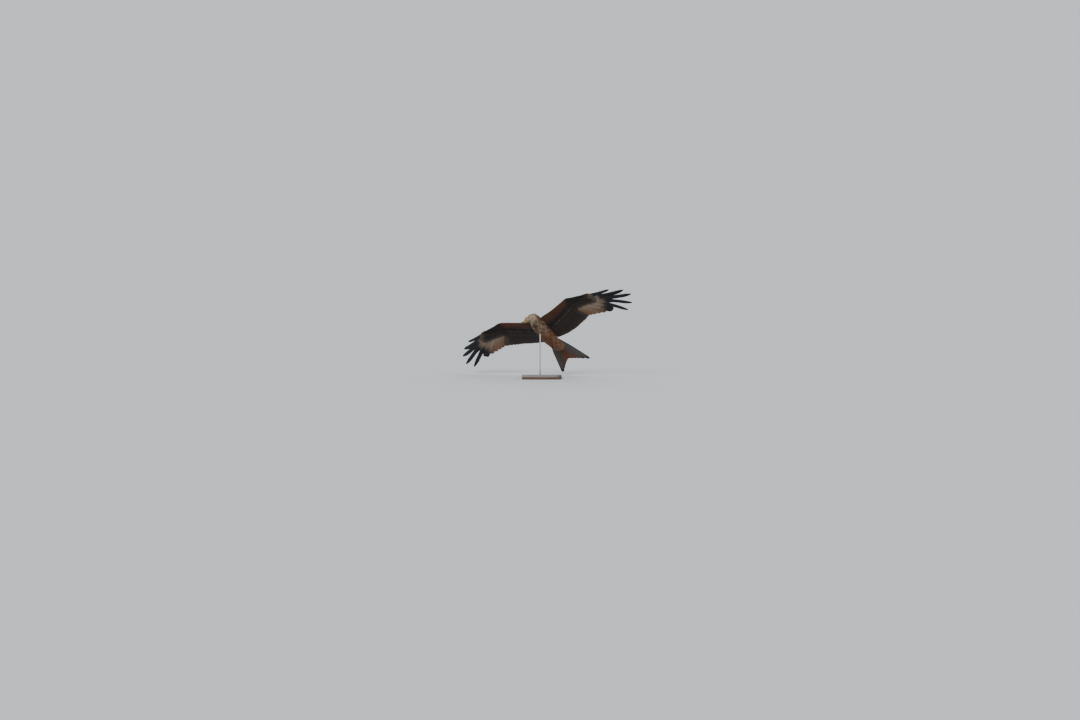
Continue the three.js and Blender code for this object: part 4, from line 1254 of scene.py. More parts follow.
def small_covert_row(plumes, rng, sign, row, distance):
    """Adds the row at a distance behind the leading edge, or with no distance the last row of all."""
    size = REAR_LENGTH
    if distance is not None:
        size = SHORTEST + (LONGEST - SHORTEST) * (distance / ROW_AT[-1]) ** 0.75
    width = 0.42 * size + 1.8
    y = np.arange(ROWS_FROM, ROWS_TO + 1, 0.56 * width) + (row % 2) * 0.28 * width
    y = y + rng.normal(0, 0.05 * width, len(y))
    fine_t = np.linspace(0, 1, 400)
    middle, half, up, low = wing_ring(np.interp(y, along(WING_FLESH, fine_t)[:, 0], fine_t))
    chord = 2 * np.linalg.norm(half, axis=1)
    keep = y < ROWS_TO
    if distance is None:
        place = chord - REAR_ROW
        keep &= chord > NARROW_CHORD
    else:
        place = distance + rng.normal(0, 0.04 + 0.36 * (distance > 2), len(y))
        keep &= place < chord - 0.5 * REAR_ROW
    if not keep.any():
        return
    middle, half, up, low, chord, place, y = (v[keep] for v in (middle, half, up, low, chord, place, y))
    angle = np.arccos(np.clip(1 - 2 * place / chord, -1, 1))[:, None]
    rise = up if sign > 0 else low
    roots, normals = on_skin(middle + half * np.cos(angle) + rise * np.sin(angle))
    back = unit(-half * np.sin(angle) + rise * np.cos(angle))
    toward = flight_lie(y)
    lean = (1 - smooth(place, 0, 7))[:, None]
    lies = back * np.abs(toward[:, :1]) * (1 - 0.5 * lean) + (0, 1, 0) * (toward[:, 1:2] + 0.8 * lean)
    rear = smooth(place, chord - 40, chord - 9)[:, None]
    normals = unit(normals * (1 - rear) + unit(rise) * rear)
    lies = unit(lies) * (1 - rear) + toward * rear
    lies = unit(lies - normals * (lies * normals).sum(axis=1, keepdims=True))
    length = size * rng.uniform(0.9, 1.1, len(y))
    if distance is not None and distance > FRONT_ROWS:
        length = length * (1 - 0.35 * smooth(y, 330, 440))
    part = place / chord
    marks = small_covert_marks(sign, part, smooth(y, 262, 318))
    patches = columns_of((y - 20) / 440, 0.03 + 0.94 * part)
    lies = turned(rng, lies, normals, 0.07)
    widths = width * rng.uniform(0.9, 1.15, len(y))
    depth = 2.6 + 5.2 * rear[:, 0]
    tufts(plumes, rng, roots, normals, lies, length, widths, depth, 0 * y + WING_CURVE, marks, patches)


contour_keratin = feather_finish(
    "contour_feather", roughness=0.82, barb_pitch=0.5, bar_pitch=2.0, grain=110, relief=0.00004
)
for seed, (side, over) in enumerate(SIDES):
    for face, sign in (("upper", 1), ("under", -1)):
        rng = np.random.default_rng(700 + seed * 11 + sign)
        plumes = Plumes()
        for row, distance in enumerate((*ROW_AT, None)):
            small_covert_row(plumes, rng, sign, row, distance)
        plumes.made(f"small_coverts_{side}_{face}", contour_keratin, "wing_feather", over)


# The contour feathers of the trunk and neck, from the shoulders over back, breast, flanks, belly, thighs and
# rump. They grow all over the skin, closer where they are smaller, and lie backwards along the body.
TRUNK_WIDE = 51.0
TRUNK_END = -232
TRUNK_BEND = 42.0


def scattered(rng, wanted, spacing_of):
    """Places on the skin where wanted is true, no closer together than their spacing, with their normals."""
    corners = SKIN_POINTS[SKIN_FACES]
    centres = corners.mean(axis=1)
    cross = np.cross(corners[:, 1] - corners[:, 0], corners[:, 2] - corners[:, 0])
    area = np.linalg.norm(cross, axis=1) / 2
    chosen = wanted(centres)
    spacing = spacing_of(centres, unit(cross))
    weight = np.where(chosen, area / spacing**2, 0)
    count = int(weight.sum() * 5)
    faces = rng.choice(len(area), count, p=weight / weight.sum())
    share = np.sort(rng.random((count, 2)), axis=1)
    share = np.stack([share[:, 0], share[:, 1] - share[:, 0], 1 - share[:, 1]], axis=1)[..., None]
    points = (corners[faces] * share).sum(axis=1)
    normals = unit((SKIN_NORMALS[SKIN_FACES[faces]] * share).sum(axis=1))
    spacing = spacing_of(points, normals)
    near = KDTree(count)
    for i, point in enumerate(points):
        near.insert(point, i)
    near.balance()
    free = np.ones(count, bool)
    kept = []
    for i in range(count):
        if free[i]:
            kept.append(i)
            for _, j, _ in near.find_range(points[i], spacing[i]):
                free[j] = False
    return points[kept], normals[kept]


def headness(points):
    """How far places lie on the head's side of the face between neck and head, in millimetres."""
    return (points - NECK_END) @ NECK_END_DIRECTION


def trunk_sizes(points, normals):
    """Spacing, length, width, depth and bend of the trunk's feathers, by tract."""
    x, y, z = points.T
    over = smooth(normals[:, 2], -0.1, 0.5)
    neck = smooth(x, 52, 96)
    rear = smooth(-x, 60, 165)
    shoulder = smooth(np.abs(y), 24, 44) * over * smooth(-x, -60, -20) * (1 - smooth(-x, 55, 100))
    flank = smooth(np.abs(normals[:, 1]), 0.45, 0.8) * (1 - over)
    flank = flank * smooth(-x, -25, 15) * (1 - smooth(-x, 120, 160))
    length = 23 + 4 * over + 8 * rear - 6 * neck
    length = length + shoulder * 22 * (1 - smooth(np.abs(y), 42, 56)) + flank * 12
    trouser = smooth(-x, 92, 104) * smooth(-z, 44, 54) * (1 - smooth(np.abs(y), 34, 44))
    length = length * (1 - trouser) + trouser * (50 + 26 * smooth(-x, 100, 146))
    width = length * (0.4 - 0.06 * neck - 0.06 * flank - 0.02 * shoulder - 0.2 * trouser)
    spacing = 3.9 - 1.1 * neck + 1.6 * shoulder + 0.6 * flank + 0.5 * over - 0.3 * trouser
    depth = BODY_DEPTH * (1 - 0.25 * neck) + 2.0 * shoulder + 1.0 * flank
    return spacing, length, width, depth


def trunk_lies(points, normals):
    """The lie of the trunk's feathers: backwards, and outwards on the shoulders and flanks."""
    x, y, z = points.T
    side = np.sign(y)
    out = smooth(np.abs(y), 22, 50) * smooth(-x, -70, 0) * (1 - smooth(-x, 60, 130))
    lies = columns_of(-1 + 0 * x, side * out * 0.3, 0 * x)
    down_neck = unit(np.array((-0.86, 0.32, 0.05)))
    lies = mixed(lies, np.broadcast_to(down_neck, lies.shape), smooth(x, 70, 104))
    trouser = (smooth(-x, 88, 100) * smooth(-z, 42, 50))[:, None]
    to_foot = unit(columns_of(-1 + 0 * x, (side * 20.5 - y) * 0.006, 0.06 + 0 * x))
    lies = unit(lies - normals * (lies * normals).sum(axis=1, keepdims=True))
    return unit(lies * (1 - trouser) + to_foot * trouser)


rng = np.random.default_rng(830)
points, normals = scattered(
    rng,
    lambda p: (headness(p) < 2) & (np.abs(p[:, 1]) < TRUNK_WIDE) & (p[:, 0] > TRUNK_END),
    lambda p, n: trunk_sizes(p, n)[0],
)
_, length, width, depth = trunk_sizes(points, normals)
length = length * rng.uniform(0.85, 1.15, len(points))
lies = turned(rng, trunk_lies(points, normals), normals, 0.12)
marks = plumage(points, normals)
around = np.arctan2(points[:, 1], points[:, 2] + 20) / (2 * math.pi) + 0.5
patches = columns_of(0.02 + 0.96 * around, 0.02 + 0.96 * (points[:, 0] + 240) / 370)
for name, chosen in (
    ("back_feathers", normals[:, 2] > 0),
    ("breast_feathers", (normals[:, 2] <= 0) & (points[:, 0] > -20)),
    ("belly_feathers", (normals[:, 2] <= 0) & (points[:, 0] <= -20)),
):
    plumes = Plumes()
    picked = [v[chosen] for v in (points, normals, lies, length, width, depth)]
    bend = np.full(chosen.sum(), TRUNK_BEND)
    x, y, z = points[chosen].T
    wing_root = (np.abs(y) > 42) & (x < 15) & (z > -30)
    picked[1][wing_root] = columns_of(0, 0, np.sign(picked[1][wing_root, 2]))
    backwards = np.tile((-1.0, 0.0, 0.02), (wing_root.sum(), 1))
    picked[2][wing_root] = turned(rng, backwards, picked[1][wing_root], 0.08)
    loose = ((x < -92) & (z < -46) & (np.abs(y) < 41)) | wing_root
    picked_marks = [m[chosen] for m in marks]
    tufts(plumes, rng, *picked, bend, picked_marks, patches[chosen], ragged=0.045, pointed=0.16, loose=loose)
    plumes.made(name, contour_keratin, "body_feather")


# The feathers of the head: narrow, pointed and finely streaked, tiny round the bill and the eyes and longer
# towards the nape, all lying back from the bill.
EYE_AT = np.array((3.0, 14.2, 2.5))
EYE_AXIS = unit(np.array((0.24, 0.96, 0.08)))
CERE_EDGE = 27.0
MOUTH_LINE = -10.9
MOUTH_ROOM = 1.2
EYE_ROOM = 5.1
BILL_ROOT = (34, 0, -6)
FACE_END = -8
NARROW = 0.34
HEAD_BEND = 20.0


def off_the_eyes(in_head, room):
    """True where a place on the head lies clear of both eyes by a room in millimetres."""
    clear = np.ones(len(in_head), bool)
    for side in (1, -1):
        centre = EYE_AT * (1, side, 1)
        axis = EYE_AXIS * (1, side, 1)
        out = in_head - centre
        aside = np.linalg.norm(out - np.outer(out @ axis, axis), axis=1)
        clear &= (aside > room) | (out @ axis < 0)
    return clear


def head_wanted(points):
    """True where feathers grow on the head: off the cere, the mouth and the eyes."""
    in_head = bird_to_head(points)
    mouth = (np.abs(in_head[:, 2] - MOUTH_LINE) < MOUTH_ROOM) & (in_head[:, 0] > 6)
    return (headness(points) > -6) & (in_head[:, 0] < CERE_EDGE) & off_the_eyes(in_head, EYE_ROOM) & ~mouth


def head_sizes(points):
    """Spacing, length and depth of the head's feathers: smallest at the bill and eyes."""
    in_head = bird_to_head(points)
    back = smooth(-in_head[:, 0], -16, 34)
    return 1.15 + 1.05 * back, 4.4 + 10.5 * back, 0.9 + 1.5 * back


rng = np.random.default_rng(911)
points, normals = scattered(rng, head_wanted, lambda p, n: head_sizes(p)[0])
_, length, depth = head_sizes(points)
in_head = bird_to_head(points)
from_bill = (in_head - BILL_ROOT) @ HEAD_TURNED.T
lies = unit(from_bill - normals * (from_bill * normals).sum(axis=1, keepdims=True))
lies = turned(rng, lies, normals, 0.1)
length = length * rng.uniform(0.85, 1.15, len(points))
around = np.arctan2(in_head[:, 1], in_head[:, 2]) / (2 * math.pi) + 0.5
patches = columns_of(0.02 + 0.96 * around, 0.02 + 0.96 * (in_head[:, 0] + 55) / 80)
marks = plumage(points, normals)
in_face = in_head[:, 0] > FACE_END
width, bend = length * NARROW, 0 * length + HEAD_BEND
for name, chosen in (("face_feathers", in_face), ("nape_feathers", ~in_face)):
    plumes = Plumes()
    picked = [v[chosen] for v in (points, normals, lies, length, width, depth, bend)]
    picked_marks = [m[chosen] for m in marks]
    tufts(plumes, rng, *picked, picked_marks, patches[chosen], ragged=0.06, pointed=0.45, columns=4)
    plumes.made(name, contour_keratin, "head_feather")


# The tail's coverts: two tiers of soft feathers that grow from the rump over the tail's root, and three tiers
# below it from the vent, the first of them the longest.
# Each tier: above or below, its feathers, how far it lies off the tail, their length and how far they spread.
COVERT_TIERS = (
    (1, 11, 5.2, 84, 24),
    (1, 10, 7.0, 62, 22),
    (-1, 11, 5.4, 116, 25),
    (-1, 10, 7.6, 88, 24),
    (-1, 9, 9.6, 62, 21),
)
TIER_WIDTHS = (9, 9)
TIER_GRID = (20, 8)
RUMP_COLOURS = (hue("#7c4426"), hue("#9c5a30"), hue("#b87a48"))
VENT_COLOURS = (hue("#553727"), hue("#6b4c39"), hue("#8b6c50"))
rng = np.random.default_rng(655)
plumes = Plumes()
for tier, (sign, count, level, length, across) in enumerate(COVERT_TIERS):
    for k in range(count):
        f = 2 * k / (count - 1) - 1
        reach = length * (1 - 0.22 * f * f) * rng.uniform(0.95, 1.05)
        base_sheet = tail_sheet(TAIL_MIDDLE + f * 15, reach, f * across, sign * (level + (k % 2) * 0.9))

        def sheet(s, aside):
            bowed = (aside / 9) ** 2 * 0.8 + 1.5 * s[:, None] ** 2
            return base_sheet(s, aside) - TAIL_UP * sign * bowed[..., None]

        def looks(s, c):
            base, tip, edge = RUMP_COLOURS if sign > 0 else VENT_COLOURS
            mark = blank(s.shape, SHAFT_DARK, 0.35)
            return ((with_strength(mixed(base, tip, s), 0.0), blank(s.shape, edge, 0.5), mark),) * 2

        patch = (k / count, tier / 5, 0.5 / count, 0.2)
        wing_feather(plumes, rng, sheet, covert_outline, TIER_WIDTHS, looks, TIER_GRID, patch, splits=0.7)
plumes.made("tail_coverts", covert_keratin, "tail_feather")


# The bill: a hooked upper half of dark horn that grows out of a yellow cere with two slit nostrils, and a
# shorter lower half that closes inside it. A yellow rim of bare skin runs along the mouth back under the eye.
UPPER_BILL = (
    (28, 0, -4.3),
    (34, 0, -4.6),
    (40, 0, -6.2),
    (44.2, 0, -9.2),
    (46.5, 0, -13.4),
    (46.6, 0, -18.6),
)
UPPER_WIDTH = (6.8, 6.9, 5.6, 4.0, 2.3, 0.3)
UPPER_HEIGHT = (5.9, 6.2, 5.6, 4.5, 2.9, 0.5)
# Each row of the cere and the lower bill: x and z of its middle, half width, height above and depth below.
CERE = np.array(
    [
        (15, -4, 9.6, 8.6, 6.9),
        (20, -4, 9.2, 8.2, 6.8),
        (25, -4.1, 8.7, 7.8, 6.5),
        (32, -4.6, 7.5, 7.0, 6.1),
    ]
)
LOWER_BILL = np.array(
    [
        (8, -12.6, 5.0, 3.0, 2.2),
        (20, -12.9, 5.8, 3.2, 2.9),
        (30, -13.0, 5.3, 3.3, 2.9),
        (38, -12.8, 3.8, 2.8, 2.1),
        (43.4, -12.3, 1.3, 1.2, 0.8),
    ]
)
NOSTRIL_AT = np.array((26.8, 7.9, -2.4))
NOSTRIL_SLIT = np.array([(-2.4, 0, -1.3), (-0.8, 0, -0.2), (0.9, 0, 0.4), (2.4, 0, 0.9)])
NOSTRIL_WIDTH = (1.2, 1.7, 1.7, 1.1)
NOSTRIL_HEIGHT = (0.5, 1.0, 1.1, 0.6)
GAPE = np.array([(31, 5.7, -10.7), (26, 7.4, -11.0), (21, 9.2, -11.1), (16, 11.0, -11.0), (11, 12.6, -10.6)])
GAPE_STANDS = np.array((0.4, 0.4, 0.35, 0.2, -0.5))
GAPE_WIDTH = (0.6, 0.8, 0.85, 0.7, 0.4)
GAPE_HEIGHT = (0.6, 0.75, 0.8, 0.7, 0.4)
BONE_YELLOW = hue("#cf9f2f")
HORN_DARK = hue("#201c1b")
HORN_PALE = hue("#6f6650")


def horn_finish(name, roughness, coat, grain):
    """Smooth horn or bare skin, coloured by what the mesh carries, with fine growth lines or pores."""
    finish = Finish(name, Roughness=roughness, Coat_Weight=coat, Coat_Roughness=0.2)
    blotch = finish.mottle(grain)
    ground = finish.carried("ground")
    darker = finish.blend(0.45, ground, solid("#3a2a14"))
    finish.wear(Base_Color=finish.blend(blotch.step(0.42, 0.72) * 0.6, ground, darker))
    finish.bumped(finish.mottle(grain * 3), 0.0002, 0.6)
    return finish


def painted(piece, colour_of, frame_of=bird_to_head):
    """Lets a mesh carry colours worked out from its places in the head's frame, or another one."""
    colours = colour_of(frame_of(in_bird(corners_of(piece))))
    carry(piece, "ground", "FLOAT_COLOR", with_strength(colours, 1.0))


def cut_from(piece, tool):
    """Takes one closed form out of another."""
    only(piece)
    cut = piece.modifiers.new("cut", "BOOLEAN")
    cut.operation = "DIFFERENCE"
    cut.solver = "EXACT"
    cut.object = tool
    bpy.ops.object.modifier_apply(modifier=cut.name)
    bpy.data.objects.remove(tool, do_unlink=True)


def roofed(x, y, t):
    """Narrows a ring towards its ridge, as a bill is narrower above."""
    return x * (1 - 0.32 * np.maximum(y, 0) ** 1.5), y


horn = horn_finish("bill_horn", roughness=0.3, coat=0.35, grain=220)
bare_skin = horn_finish("yellow_bare_skin", roughness=0.48, coat=0.1, grain=500)
upper_ring = limb_ring(UPPER_BILL, UPPER_WIDTH, UPPER_HEIGHT)
upper_bill = outward(lofted("upper_bill", upper_ring, 40, 48, head_to_bird, roofed))
lower_bill = outward(lofted("lower_bill", body_ring(LOWER_BILL, 0), 36, 34, head_to_bird))
cere = outward(lofted("cere_skin", body_ring(CERE, 0), 44, 26, head_to_bird, roofed))
for side in (1, -1):
    slit_ring = limb_ring(NOSTRIL_SLIT + NOSTRIL_AT * (1, side, 1), NOSTRIL_WIDTH, NOSTRIL_HEIGHT)
    cut_from(cere, outward(lofted("nostril", slit_ring, 16, 12, head_to_bird)))
cere = outward(cere)
gapes = []
for side in (1, -1):
    lips, lip_normals = on_skin(head_to_bird(GAPE * (1, side, 1)))
    lips = bird_to_head(lips + lip_normals * GAPE_STANDS[:, None])
    lips[0] = GAPE[0] * (1, side, 1)
    lip_ring = limb_ring(lips, GAPE_WIDTH, GAPE_HEIGHT)
    gapes.append(outward(lofted("gape", lip_ring, 14, 30, head_to_bird)))
gape = joined("gape_rims", gapes)
painted(upper_bill, lambda p: mixed(HORN_PALE, HORN_DARK, smooth(p[:, 0], 30, 37)))
painted(lower_bill, lambda p: mixed(BONE_YELLOW * 0.7, HORN_DARK, smooth(p[:, 0], 22, 33)))
painted(cere, lambda p: mixed(BONE_YELLOW * 0.85, BONE_YELLOW, smooth(p[:, 2], -6, 3)))
painted(gape, lambda p: mixed(BONE_YELLOW, BONE_YELLOW * 0.8, smooth(p[:, 0], 8, 20)))
for piece, finish, node, slot_name in (
    (upper_bill, horn, "beak_upper", "horn"),
    (lower_bill, horn, "beak_lower", "horn"),
    (cere, bare_skin, "cere", "yellow_skin"),
    (gape, bare_skin, None, "yellow_skin"),
):
    finish.on(piece)
    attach(piece, "root")
    if node:
        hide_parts(node)


# The eyes: balls with a pale yellow iris and a black pupil under a clear wet coat, set deep in the head, each
# behind an upper and a lower lid that make one ring of bare yellow skin under the brow.
EYE_RADIUS = 6.9
EYE_OPENING = 42.0
PUPIL_EDGE = 0.945
PUPIL_BLACK = (0.004, 0.004, 0.004, 1)
IRIS_EDGE = 0.70
LID_OUTER = 21.0
LID_ROUND = 0.4
LID_CLEAR = 0.1
LID_THICK, UPPER_LID_MORE = 0.85, 0.4
UPPER_LID_DROP, LOWER_LID_RISE, CORNERS_OPEN = 13, 4, 3


def eye_finish(name, centre, axis):
    """An iris round a pupil, drawn about the eye's own axis, under a clear wet surface."""
    finish = Finish(name, Roughness=0.25, Specular_IOR_Level=0.2, Coat_Weight=0.5, Coat_Roughness=0.02)
    place = finish.node("ShaderNodeTexCoord", out=3)
    out = finish.node("ShaderNodeVectorMath", {"operation": "SUBTRACT"}, {0: place, 1: tuple(centre)})
    out = finish.node("ShaderNodeVectorMath", {"operation": "NORMALIZE"}, {0: out})
    facing = finish.node("ShaderNodeVectorMath", {"operation": "DOT_PRODUCT"}, {0: out, 1: tuple(axis)}, 1)
    streaks = finish.mottle(3600, 2)
    iris = finish.blend(streaks.step(0.2, 0.8), solid("#a5894a"), solid("#cbb472"))
    ball = finish.blend(facing.step(IRIS_EDGE - 0.04, IRIS_EDGE), solid("#171210"), iris)
    pupil = facing.step(PUPIL_EDGE - 0.008, PUPIL_EDGE + 0.004)
    finish.wear(Base_Color=finish.blend(pupil, ball, PUPIL_BLACK))
    return finish


def lid_ring(side):
    """The upper and the lower lid of one eye as a single ring, thicker and lower above."""
    torus = bpy.ops.mesh.primitive_torus_add
    lid = added("lid", torus, major_segments=64, minor_segments=14, major_radius=1, minor_radius=LID_ROUND)
    x, y, z = corners_of(lid).T
    turn = np.arctan2(y, x)
    round_it = np.arctan2(z, np.hypot(x, y) - 1)
    upper, lower = np.maximum(np.sin(turn), 0), np.maximum(-np.sin(turn), 0)
    opening = EYE_OPENING - UPPER_LID_DROP * upper - LOWER_LID_RISE * lower**2
    opening = opening + CORNERS_OPEN * np.abs(np.cos(turn)) ** 3
    tilt = np.radians(opening + LID_OUTER * (1 + np.cos(round_it)) / 2)
    far = EYE_RADIUS + LID_CLEAR + (LID_THICK + UPPER_LID_MORE * upper) * (1 + np.sin(round_it)) / 2
    forward = unit(np.array((1.0, 0, 0)) - EYE_AXIS * EYE_AXIS[0])
    crown = unit(np.cross(forward, EYE_AXIS))
    ring = forward * np.cos(turn)[:, None] + (crown if crown[2] > 0 else -crown) * np.sin(turn)[:, None]
    placed = EYE_AT + (EYE_AXIS * np.cos(tilt)[:, None] + ring * np.sin(tilt)[:, None]) * far[:, None]
    lid.data.vertices.foreach_set("co", in_stand(head_to_bird(placed * (1, side, 1))).ravel())
    lid.data.update()
    return outward(lid)


lid_rings = []
for name, side in (("left", 1), ("right", -1)):
    centre = in_stand(head_to_bird(EYE_AT * (1, side, 1)))
    axis = HEAD_TURNED @ (EYE_AXIS * (1, side, 1))
    sphere = bpy.ops.mesh.primitive_uv_sphere_add
    size = EYE_RADIUS * MM
    ball = added(f"eyeball_{name}", sphere, segments=48, ring_count=32, radius=size, location=tuple(centre))
    bpy.ops.object.transform_apply(location=True, rotation=True, scale=True)
    bpy.ops.object.shade_smooth()
    eye_finish(f"eye_{name}", centre, axis @ ATTITUDE).on(ball)
    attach(ball, "root")
    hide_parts(f"eye_{name}")
    lid_rings.append(lid_ring(side))
lids = joined("eyelids", lid_rings)
painted(lids, lambda p: np.broadcast_to(BONE_YELLOW * 0.33, p.shape))
bare_skin.on(lids)
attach(lids, "root")


# The legs, tucked back under the tail as kites carry them: a short scaled shank, three toes forward and one
# back with pads below and plates above, all of yellow skin, and on each toe a curved claw of black horn.
HEEL = np.array((-144.0, 24.0, -57.5))
ANKLE = np.array((-196.0, 20.5, -46.5))
SHANK_LINE = unit(ANKLE - HEEL)
PALM = ANKLE + SHANK_LINE * 1.5
SHANK_LENGTH = 62
SHANK_WIDTH = (5.6, 4.1, 4.7, 4.0)
PALM_WIDTH, PALM_HEIGHT = (2, 6.4, 2), (2, 4.9, 2)
# Each toe: forward or back, degrees aside, how far its tip curls down, and its length.
TOES = ((1, 24, -7, 27), (1, 2, -8, 33), (1, -22, -7, 28), (-1, 8, -9, 19))
TOE_WIDTH, TOE_HEIGHT = (4.0, 3.5, 3.2, 2.3), (3.7, 3.3, 3.0, 2.3)
TOE_PADS = (0.36, 0.66, 0.92)
CLAW_BEND = ((-2, 0), (3, 0.1), (7, 2.4), (9.3, 6), (9.5, 10.2))
CLAW_WIDTH, CLAW_HEIGHT = (2.2, 2.15, 1.7, 1.1, 0.2), (2.4, 2.3, 1.8, 1.1, 0.2)
CLAW_BLACK = hue("#191615")
FOOT_GRAIN = 0.45 * MM
FOOT_EASED = 2
PLATE_PITCH = 2.6


def plated(length, pads):
    """Raises plates along the upper side of a toe or shank and pads along its lower side."""

    def shape(x, y, t):
        plates = np.abs(np.sin(math.pi * t * length / PLATE_PITCH)) ** 0.6
        swell = sum(np.exp(-(((t - place) / 0.12) ** 2)) for place in pads) if pads else 0 * t
        grow = 1 - 0.07 * (1 - plates) * smooth(y, -0.2, 0.5) + 0.16 * swell * smooth(-y, 0.1, 0.9)
        return x * grow, y * grow

    return shape


def toe_line(aside):
    """The direction of a toe so many degrees aside of the shank's own line."""
    turn = math.radians(aside)
    c, n = math.cos(turn), math.sin(turn)
    return np.array([(c, -n, 0), (n, c, 0), (0, 0, 1)]) @ SHANK_LINE


def toe_path(reach, aside, curl, length):
    """The middle line of a toe from the palm to the root of its claw."""
    f = np.array((0, 0.4, 0.75, 1.0))[:, None]
    return PALM + toe_line(aside) * reach * f * length + (0, 0, 1) * (curl * f**2)


claw_horn = horn_finish("claw_horn", roughness=0.28, coat=0.5, grain=300)
for name, over in SIDES:
    shank_path = np.array([HEEL + (HEEL - ANKLE) * 0.12, (HEEL + ANKLE) / 2, ANKLE, ANKLE + SHANK_LINE * 4])
    shank_ring = limb_ring(shank_path, SHANK_WIDTH, SHANK_WIDTH)
    parts = [lofted("shank", shank_ring, 28, 90, over, plated(SHANK_LENGTH, ()))]
    palm_ring = limb_ring([PALM - SHANK_LINE * 6, PALM, PALM + SHANK_LINE * 6], PALM_WIDTH, PALM_HEIGHT)
    parts.append(lofted("palm", palm_ring, 24, 24, over))
    claws = []
    for toe in TOES:
        reach, aside, curl, length = toe
        toe_ring = limb_ring(toe_path(*toe), TOE_WIDTH, TOE_HEIGHT)
        parts.append(lofted("toe", toe_ring, 24, 70, over, plated(length, TOE_PADS)))
        out = toe_line(aside) * reach
        tip = PALM + out * length + (0, 0, curl)
        claw_path = np.stack([tip + out * f + (0, 0, -drop) for f, drop in CLAW_BEND])
        claws.append(outward(lofted("claw", limb_ring(claw_path, CLAW_WIDTH, CLAW_HEIGHT), 18, 26, over)))
    foot = grown_together(f"leg_and_foot_{name}", parts, FOOT_GRAIN, FOOT_EASED)
    painted(foot, lambda p: mixed(BONE_YELLOW, BONE_YELLOW * 0.7, smooth(-p[:, 0], 150, 230)), lambda p: p)
    bare_skin.on(foot)
    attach(foot, "root")
    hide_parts(f"leg_{name}_shank", f"foot_{name}")
    for k, claw in enumerate(claws, 1):
        claw.name = claw.data.name = f"talon_{name}_{k}"
        painted(claw, lambda p: np.broadcast_to(CLAW_BLACK, p.shape))
        claw_horn.on(claw)
        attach(claw, "root")
        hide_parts(f"claw_{name}_{k}")


# The stand: a dark wooden slab with rounded corners and an eased top edge, and one steel rod that is screwed
# into it and goes up into the body.
BASE_SIZE = (0.300, 0.230, 0.018)
BASE_CORNER = 0.026
BASE_BEVEL = 0.003
UNDER_BEVEL = 0.0012
LEVEL = 1e-5
ROD_AT = (-0.012, -0.034)
ROD_RADIUS = 0.005
ROD_TOP = 0.385
FLANGE_RADIUS = 0.012
FLANGE_HEIGHT = 0.003
STEEL_BEVEL = 0.0007
SOFT_EDGE = math.radians(35)


def select_edges(piece, wanted):
    """Selects the edges whose two ends pass a test, in edit mode."""
    bpy.ops.mesh.select_all(action="DESELECT")
    bpy.ops.object.mode_set(mode="OBJECT")
    for edge in piece.data.edges:
        a, b = (piece.data.vertices[v].co for v in edge.vertices)
        edge.select = bool(wanted(a, b))
    bpy.ops.object.mode_set(mode="EDIT")


base = added("base_board", bpy.ops.mesh.primitive_cube_add, size=1, location=(0, 0, BASE_SIZE[2] / 2))
base.scale = BASE_SIZE
bpy.ops.object.transform_apply(location=True, rotation=True, scale=True)
bpy.ops.object.mode_set(mode="EDIT")
bpy.ops.mesh.select_mode(type="EDGE")
select_edges(base, lambda a, b: abs(a.z - b.z) > 0.01)
bpy.ops.mesh.bevel(offset=BASE_CORNER, segments=14, affect="EDGES")
select_edges(base, lambda a, b: min(a.z, b.z) > BASE_SIZE[2] - LEVEL)
bpy.ops.mesh.bevel(offset=BASE_BEVEL, segments=5, affect="EDGES")
select_edges(base, lambda a, b: max(a.z, b.z) < LEVEL)
bpy.ops.mesh.bevel(offset=UNDER_BEVEL, segments=2, affect="EDGES")
bpy.ops.object.mode_set(mode="OBJECT")
bpy.ops.object.shade_smooth_by_angle(angle=SOFT_EDGE)
wood = Finish("dark_walnut", Roughness=0.42, Coat_Weight=0.25, Coat_Roughness=0.25)
grain = wood.mottle(26, 6, (0.35, 4.5, 4.5))
fine = wood.mottle(240, 4, (0.12, 3, 3))
tone = wood.blend(grain.step(0.3, 0.72), solid("#2b1910"), solid("#5c3a22"))
wood.wear(Base_Color=wood.blend(fine.step(0.45, 0.8) * 0.5, tone, solid("#1c100a")))
wood.bumped(fine, 0.00015)
wood.on(base)
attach(base, "root")
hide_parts("stand_base")

steel = Finish("brushed_steel", Roughness=0.32, Metallic=1.0, Base_Color=(0.56, 0.55, 0.53, 1))
steel.bumped(steel.mottle(900, 3, (1, 1, 0.04)), 0.00004)
round_bar = bpy.ops.mesh.primitive_cylinder_add
rod_middle = (*ROD_AT, (ROD_TOP + BASE_SIZE[2]) / 2)
rod_length = ROD_TOP - BASE_SIZE[2]
rod = added("support_rod", round_bar, vertices=48, radius=ROD_RADIUS, depth=rod_length, location=rod_middle)
flange_middle = (*ROD_AT, BASE_SIZE[2] + FLANGE_HEIGHT / 2)
flange = added(
    "rod_flange", round_bar, vertices=48, radius=FLANGE_RADIUS, depth=FLANGE_HEIGHT, location=flange_middle
)
for part in (rod, flange):
    only(part)
    bpy.ops.object.transform_apply(location=True, rotation=True, scale=True)
    ease = part.modifiers.new("eased_edges", "BEVEL")
    ease.width = STEEL_BEVEL
    ease.segments = 3
    ease.limit_method = "ANGLE"
    bpy.ops.object.modifier_apply(modifier=ease.name)
    bpy.ops.object.shade_smooth_by_angle(angle=SOFT_EDGE)
    steel.on(part)
    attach(part, "root")
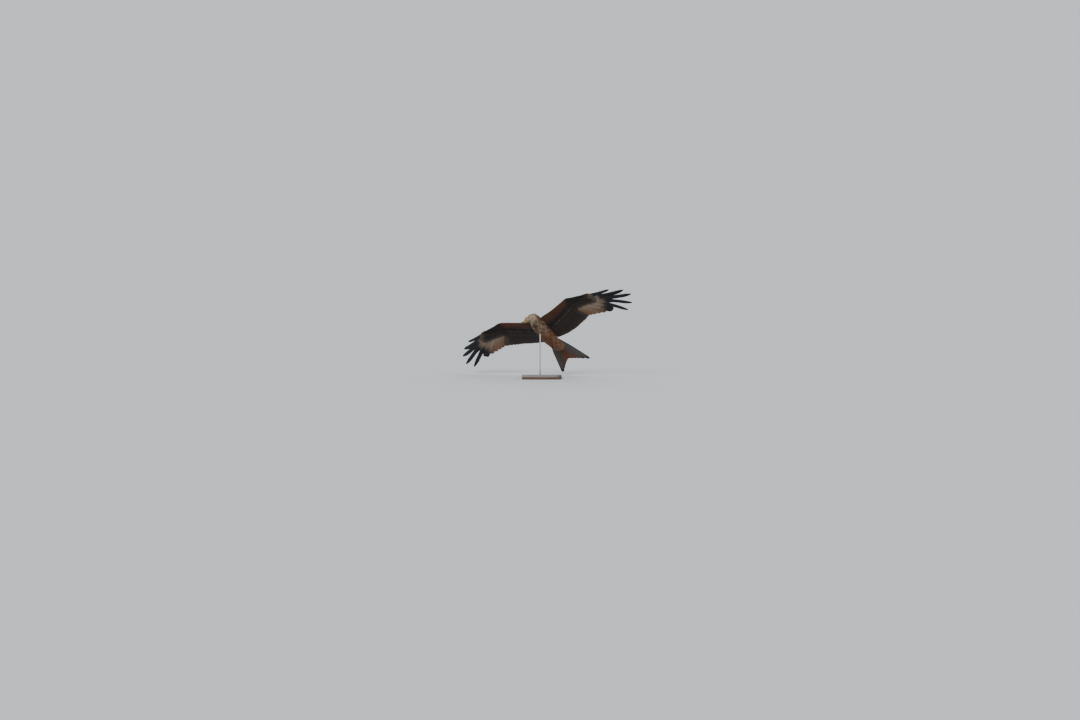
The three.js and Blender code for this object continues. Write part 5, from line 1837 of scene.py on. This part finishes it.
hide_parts("stand_rod")


# The floor, the light and the camera. The floor is plain and pale, and the light is one broad soft source, a
# faint one opposite and an even surround, as in a studio.
FLOOR_WIDE = 700
floor = added("studio_floor", bpy.ops.mesh.primitive_plane_add, size=FLOOR_WIDE, location=(0, 0, 0))
paper = Finish("pale_floor", Roughness=0.95, Base_Color=(0.61, 0.625, 0.645, 1))
paper.on(floor)

world = bpy.data.worlds.new("studio")
bpy.context.scene.world = world
world.use_nodes = True
backing = next(n for n in world.node_tree.nodes if n.type == "BACKGROUND")
backing.inputs["Color"].default_value = (0.80, 0.84, 0.90, 1)
backing.inputs["Strength"].default_value = 0.95

for name, energy, angle, direction, colour in (
    ("key", 2.2, 24, (0.35, 0.95, -0.75), (1, 0.97, 0.92)),
    ("fill", 0.6, 50, (-0.8, 0.55, 0.05), (0.93, 0.96, 1)),
):
    lamp = bpy.data.lights.new(name, "SUN")
    lamp.energy = energy
    lamp.angle = math.radians(angle)
    lamp.color = colour
    holder = bpy.data.objects.new(name, lamp)
    holder.rotation_euler = Vector(direction).to_track_quat("-Z", "Y").to_euler()
    bpy.context.collection.objects.link(holder)

CAMERA_DISTANCE = 68.0
SENSOR_WIDTH = 36
LOOK_DOWN = math.radians(5)
VIEW_WIDTH = 8.154
BELOW_SHOULDERS = 0.272
line_of_sight = Vector((0, math.cos(LOOK_DOWN), -math.sin(LOOK_DOWN)))
screen_up = Vector((0, math.sin(LOOK_DOWN), math.cos(LOOK_DOWN)))
aim = Vector(SHOULDERS * MM) - screen_up * BELOW_SHOULDERS
lens = bpy.data.cameras.new("camera")
lens.sensor_width = SENSOR_WIDTH
lens.lens = SENSOR_WIDTH * CAMERA_DISTANCE / VIEW_WIDTH
lens.clip_start = 1
lens.clip_end = 1500
camera = bpy.data.objects.new("camera", lens)
camera.location = aim - line_of_sight * CAMERA_DISTANCE
camera.rotation_euler = line_of_sight.to_track_quat("-Z", "Y").to_euler()
bpy.context.collection.objects.link(camera)
bpy.context.scene.camera = camera
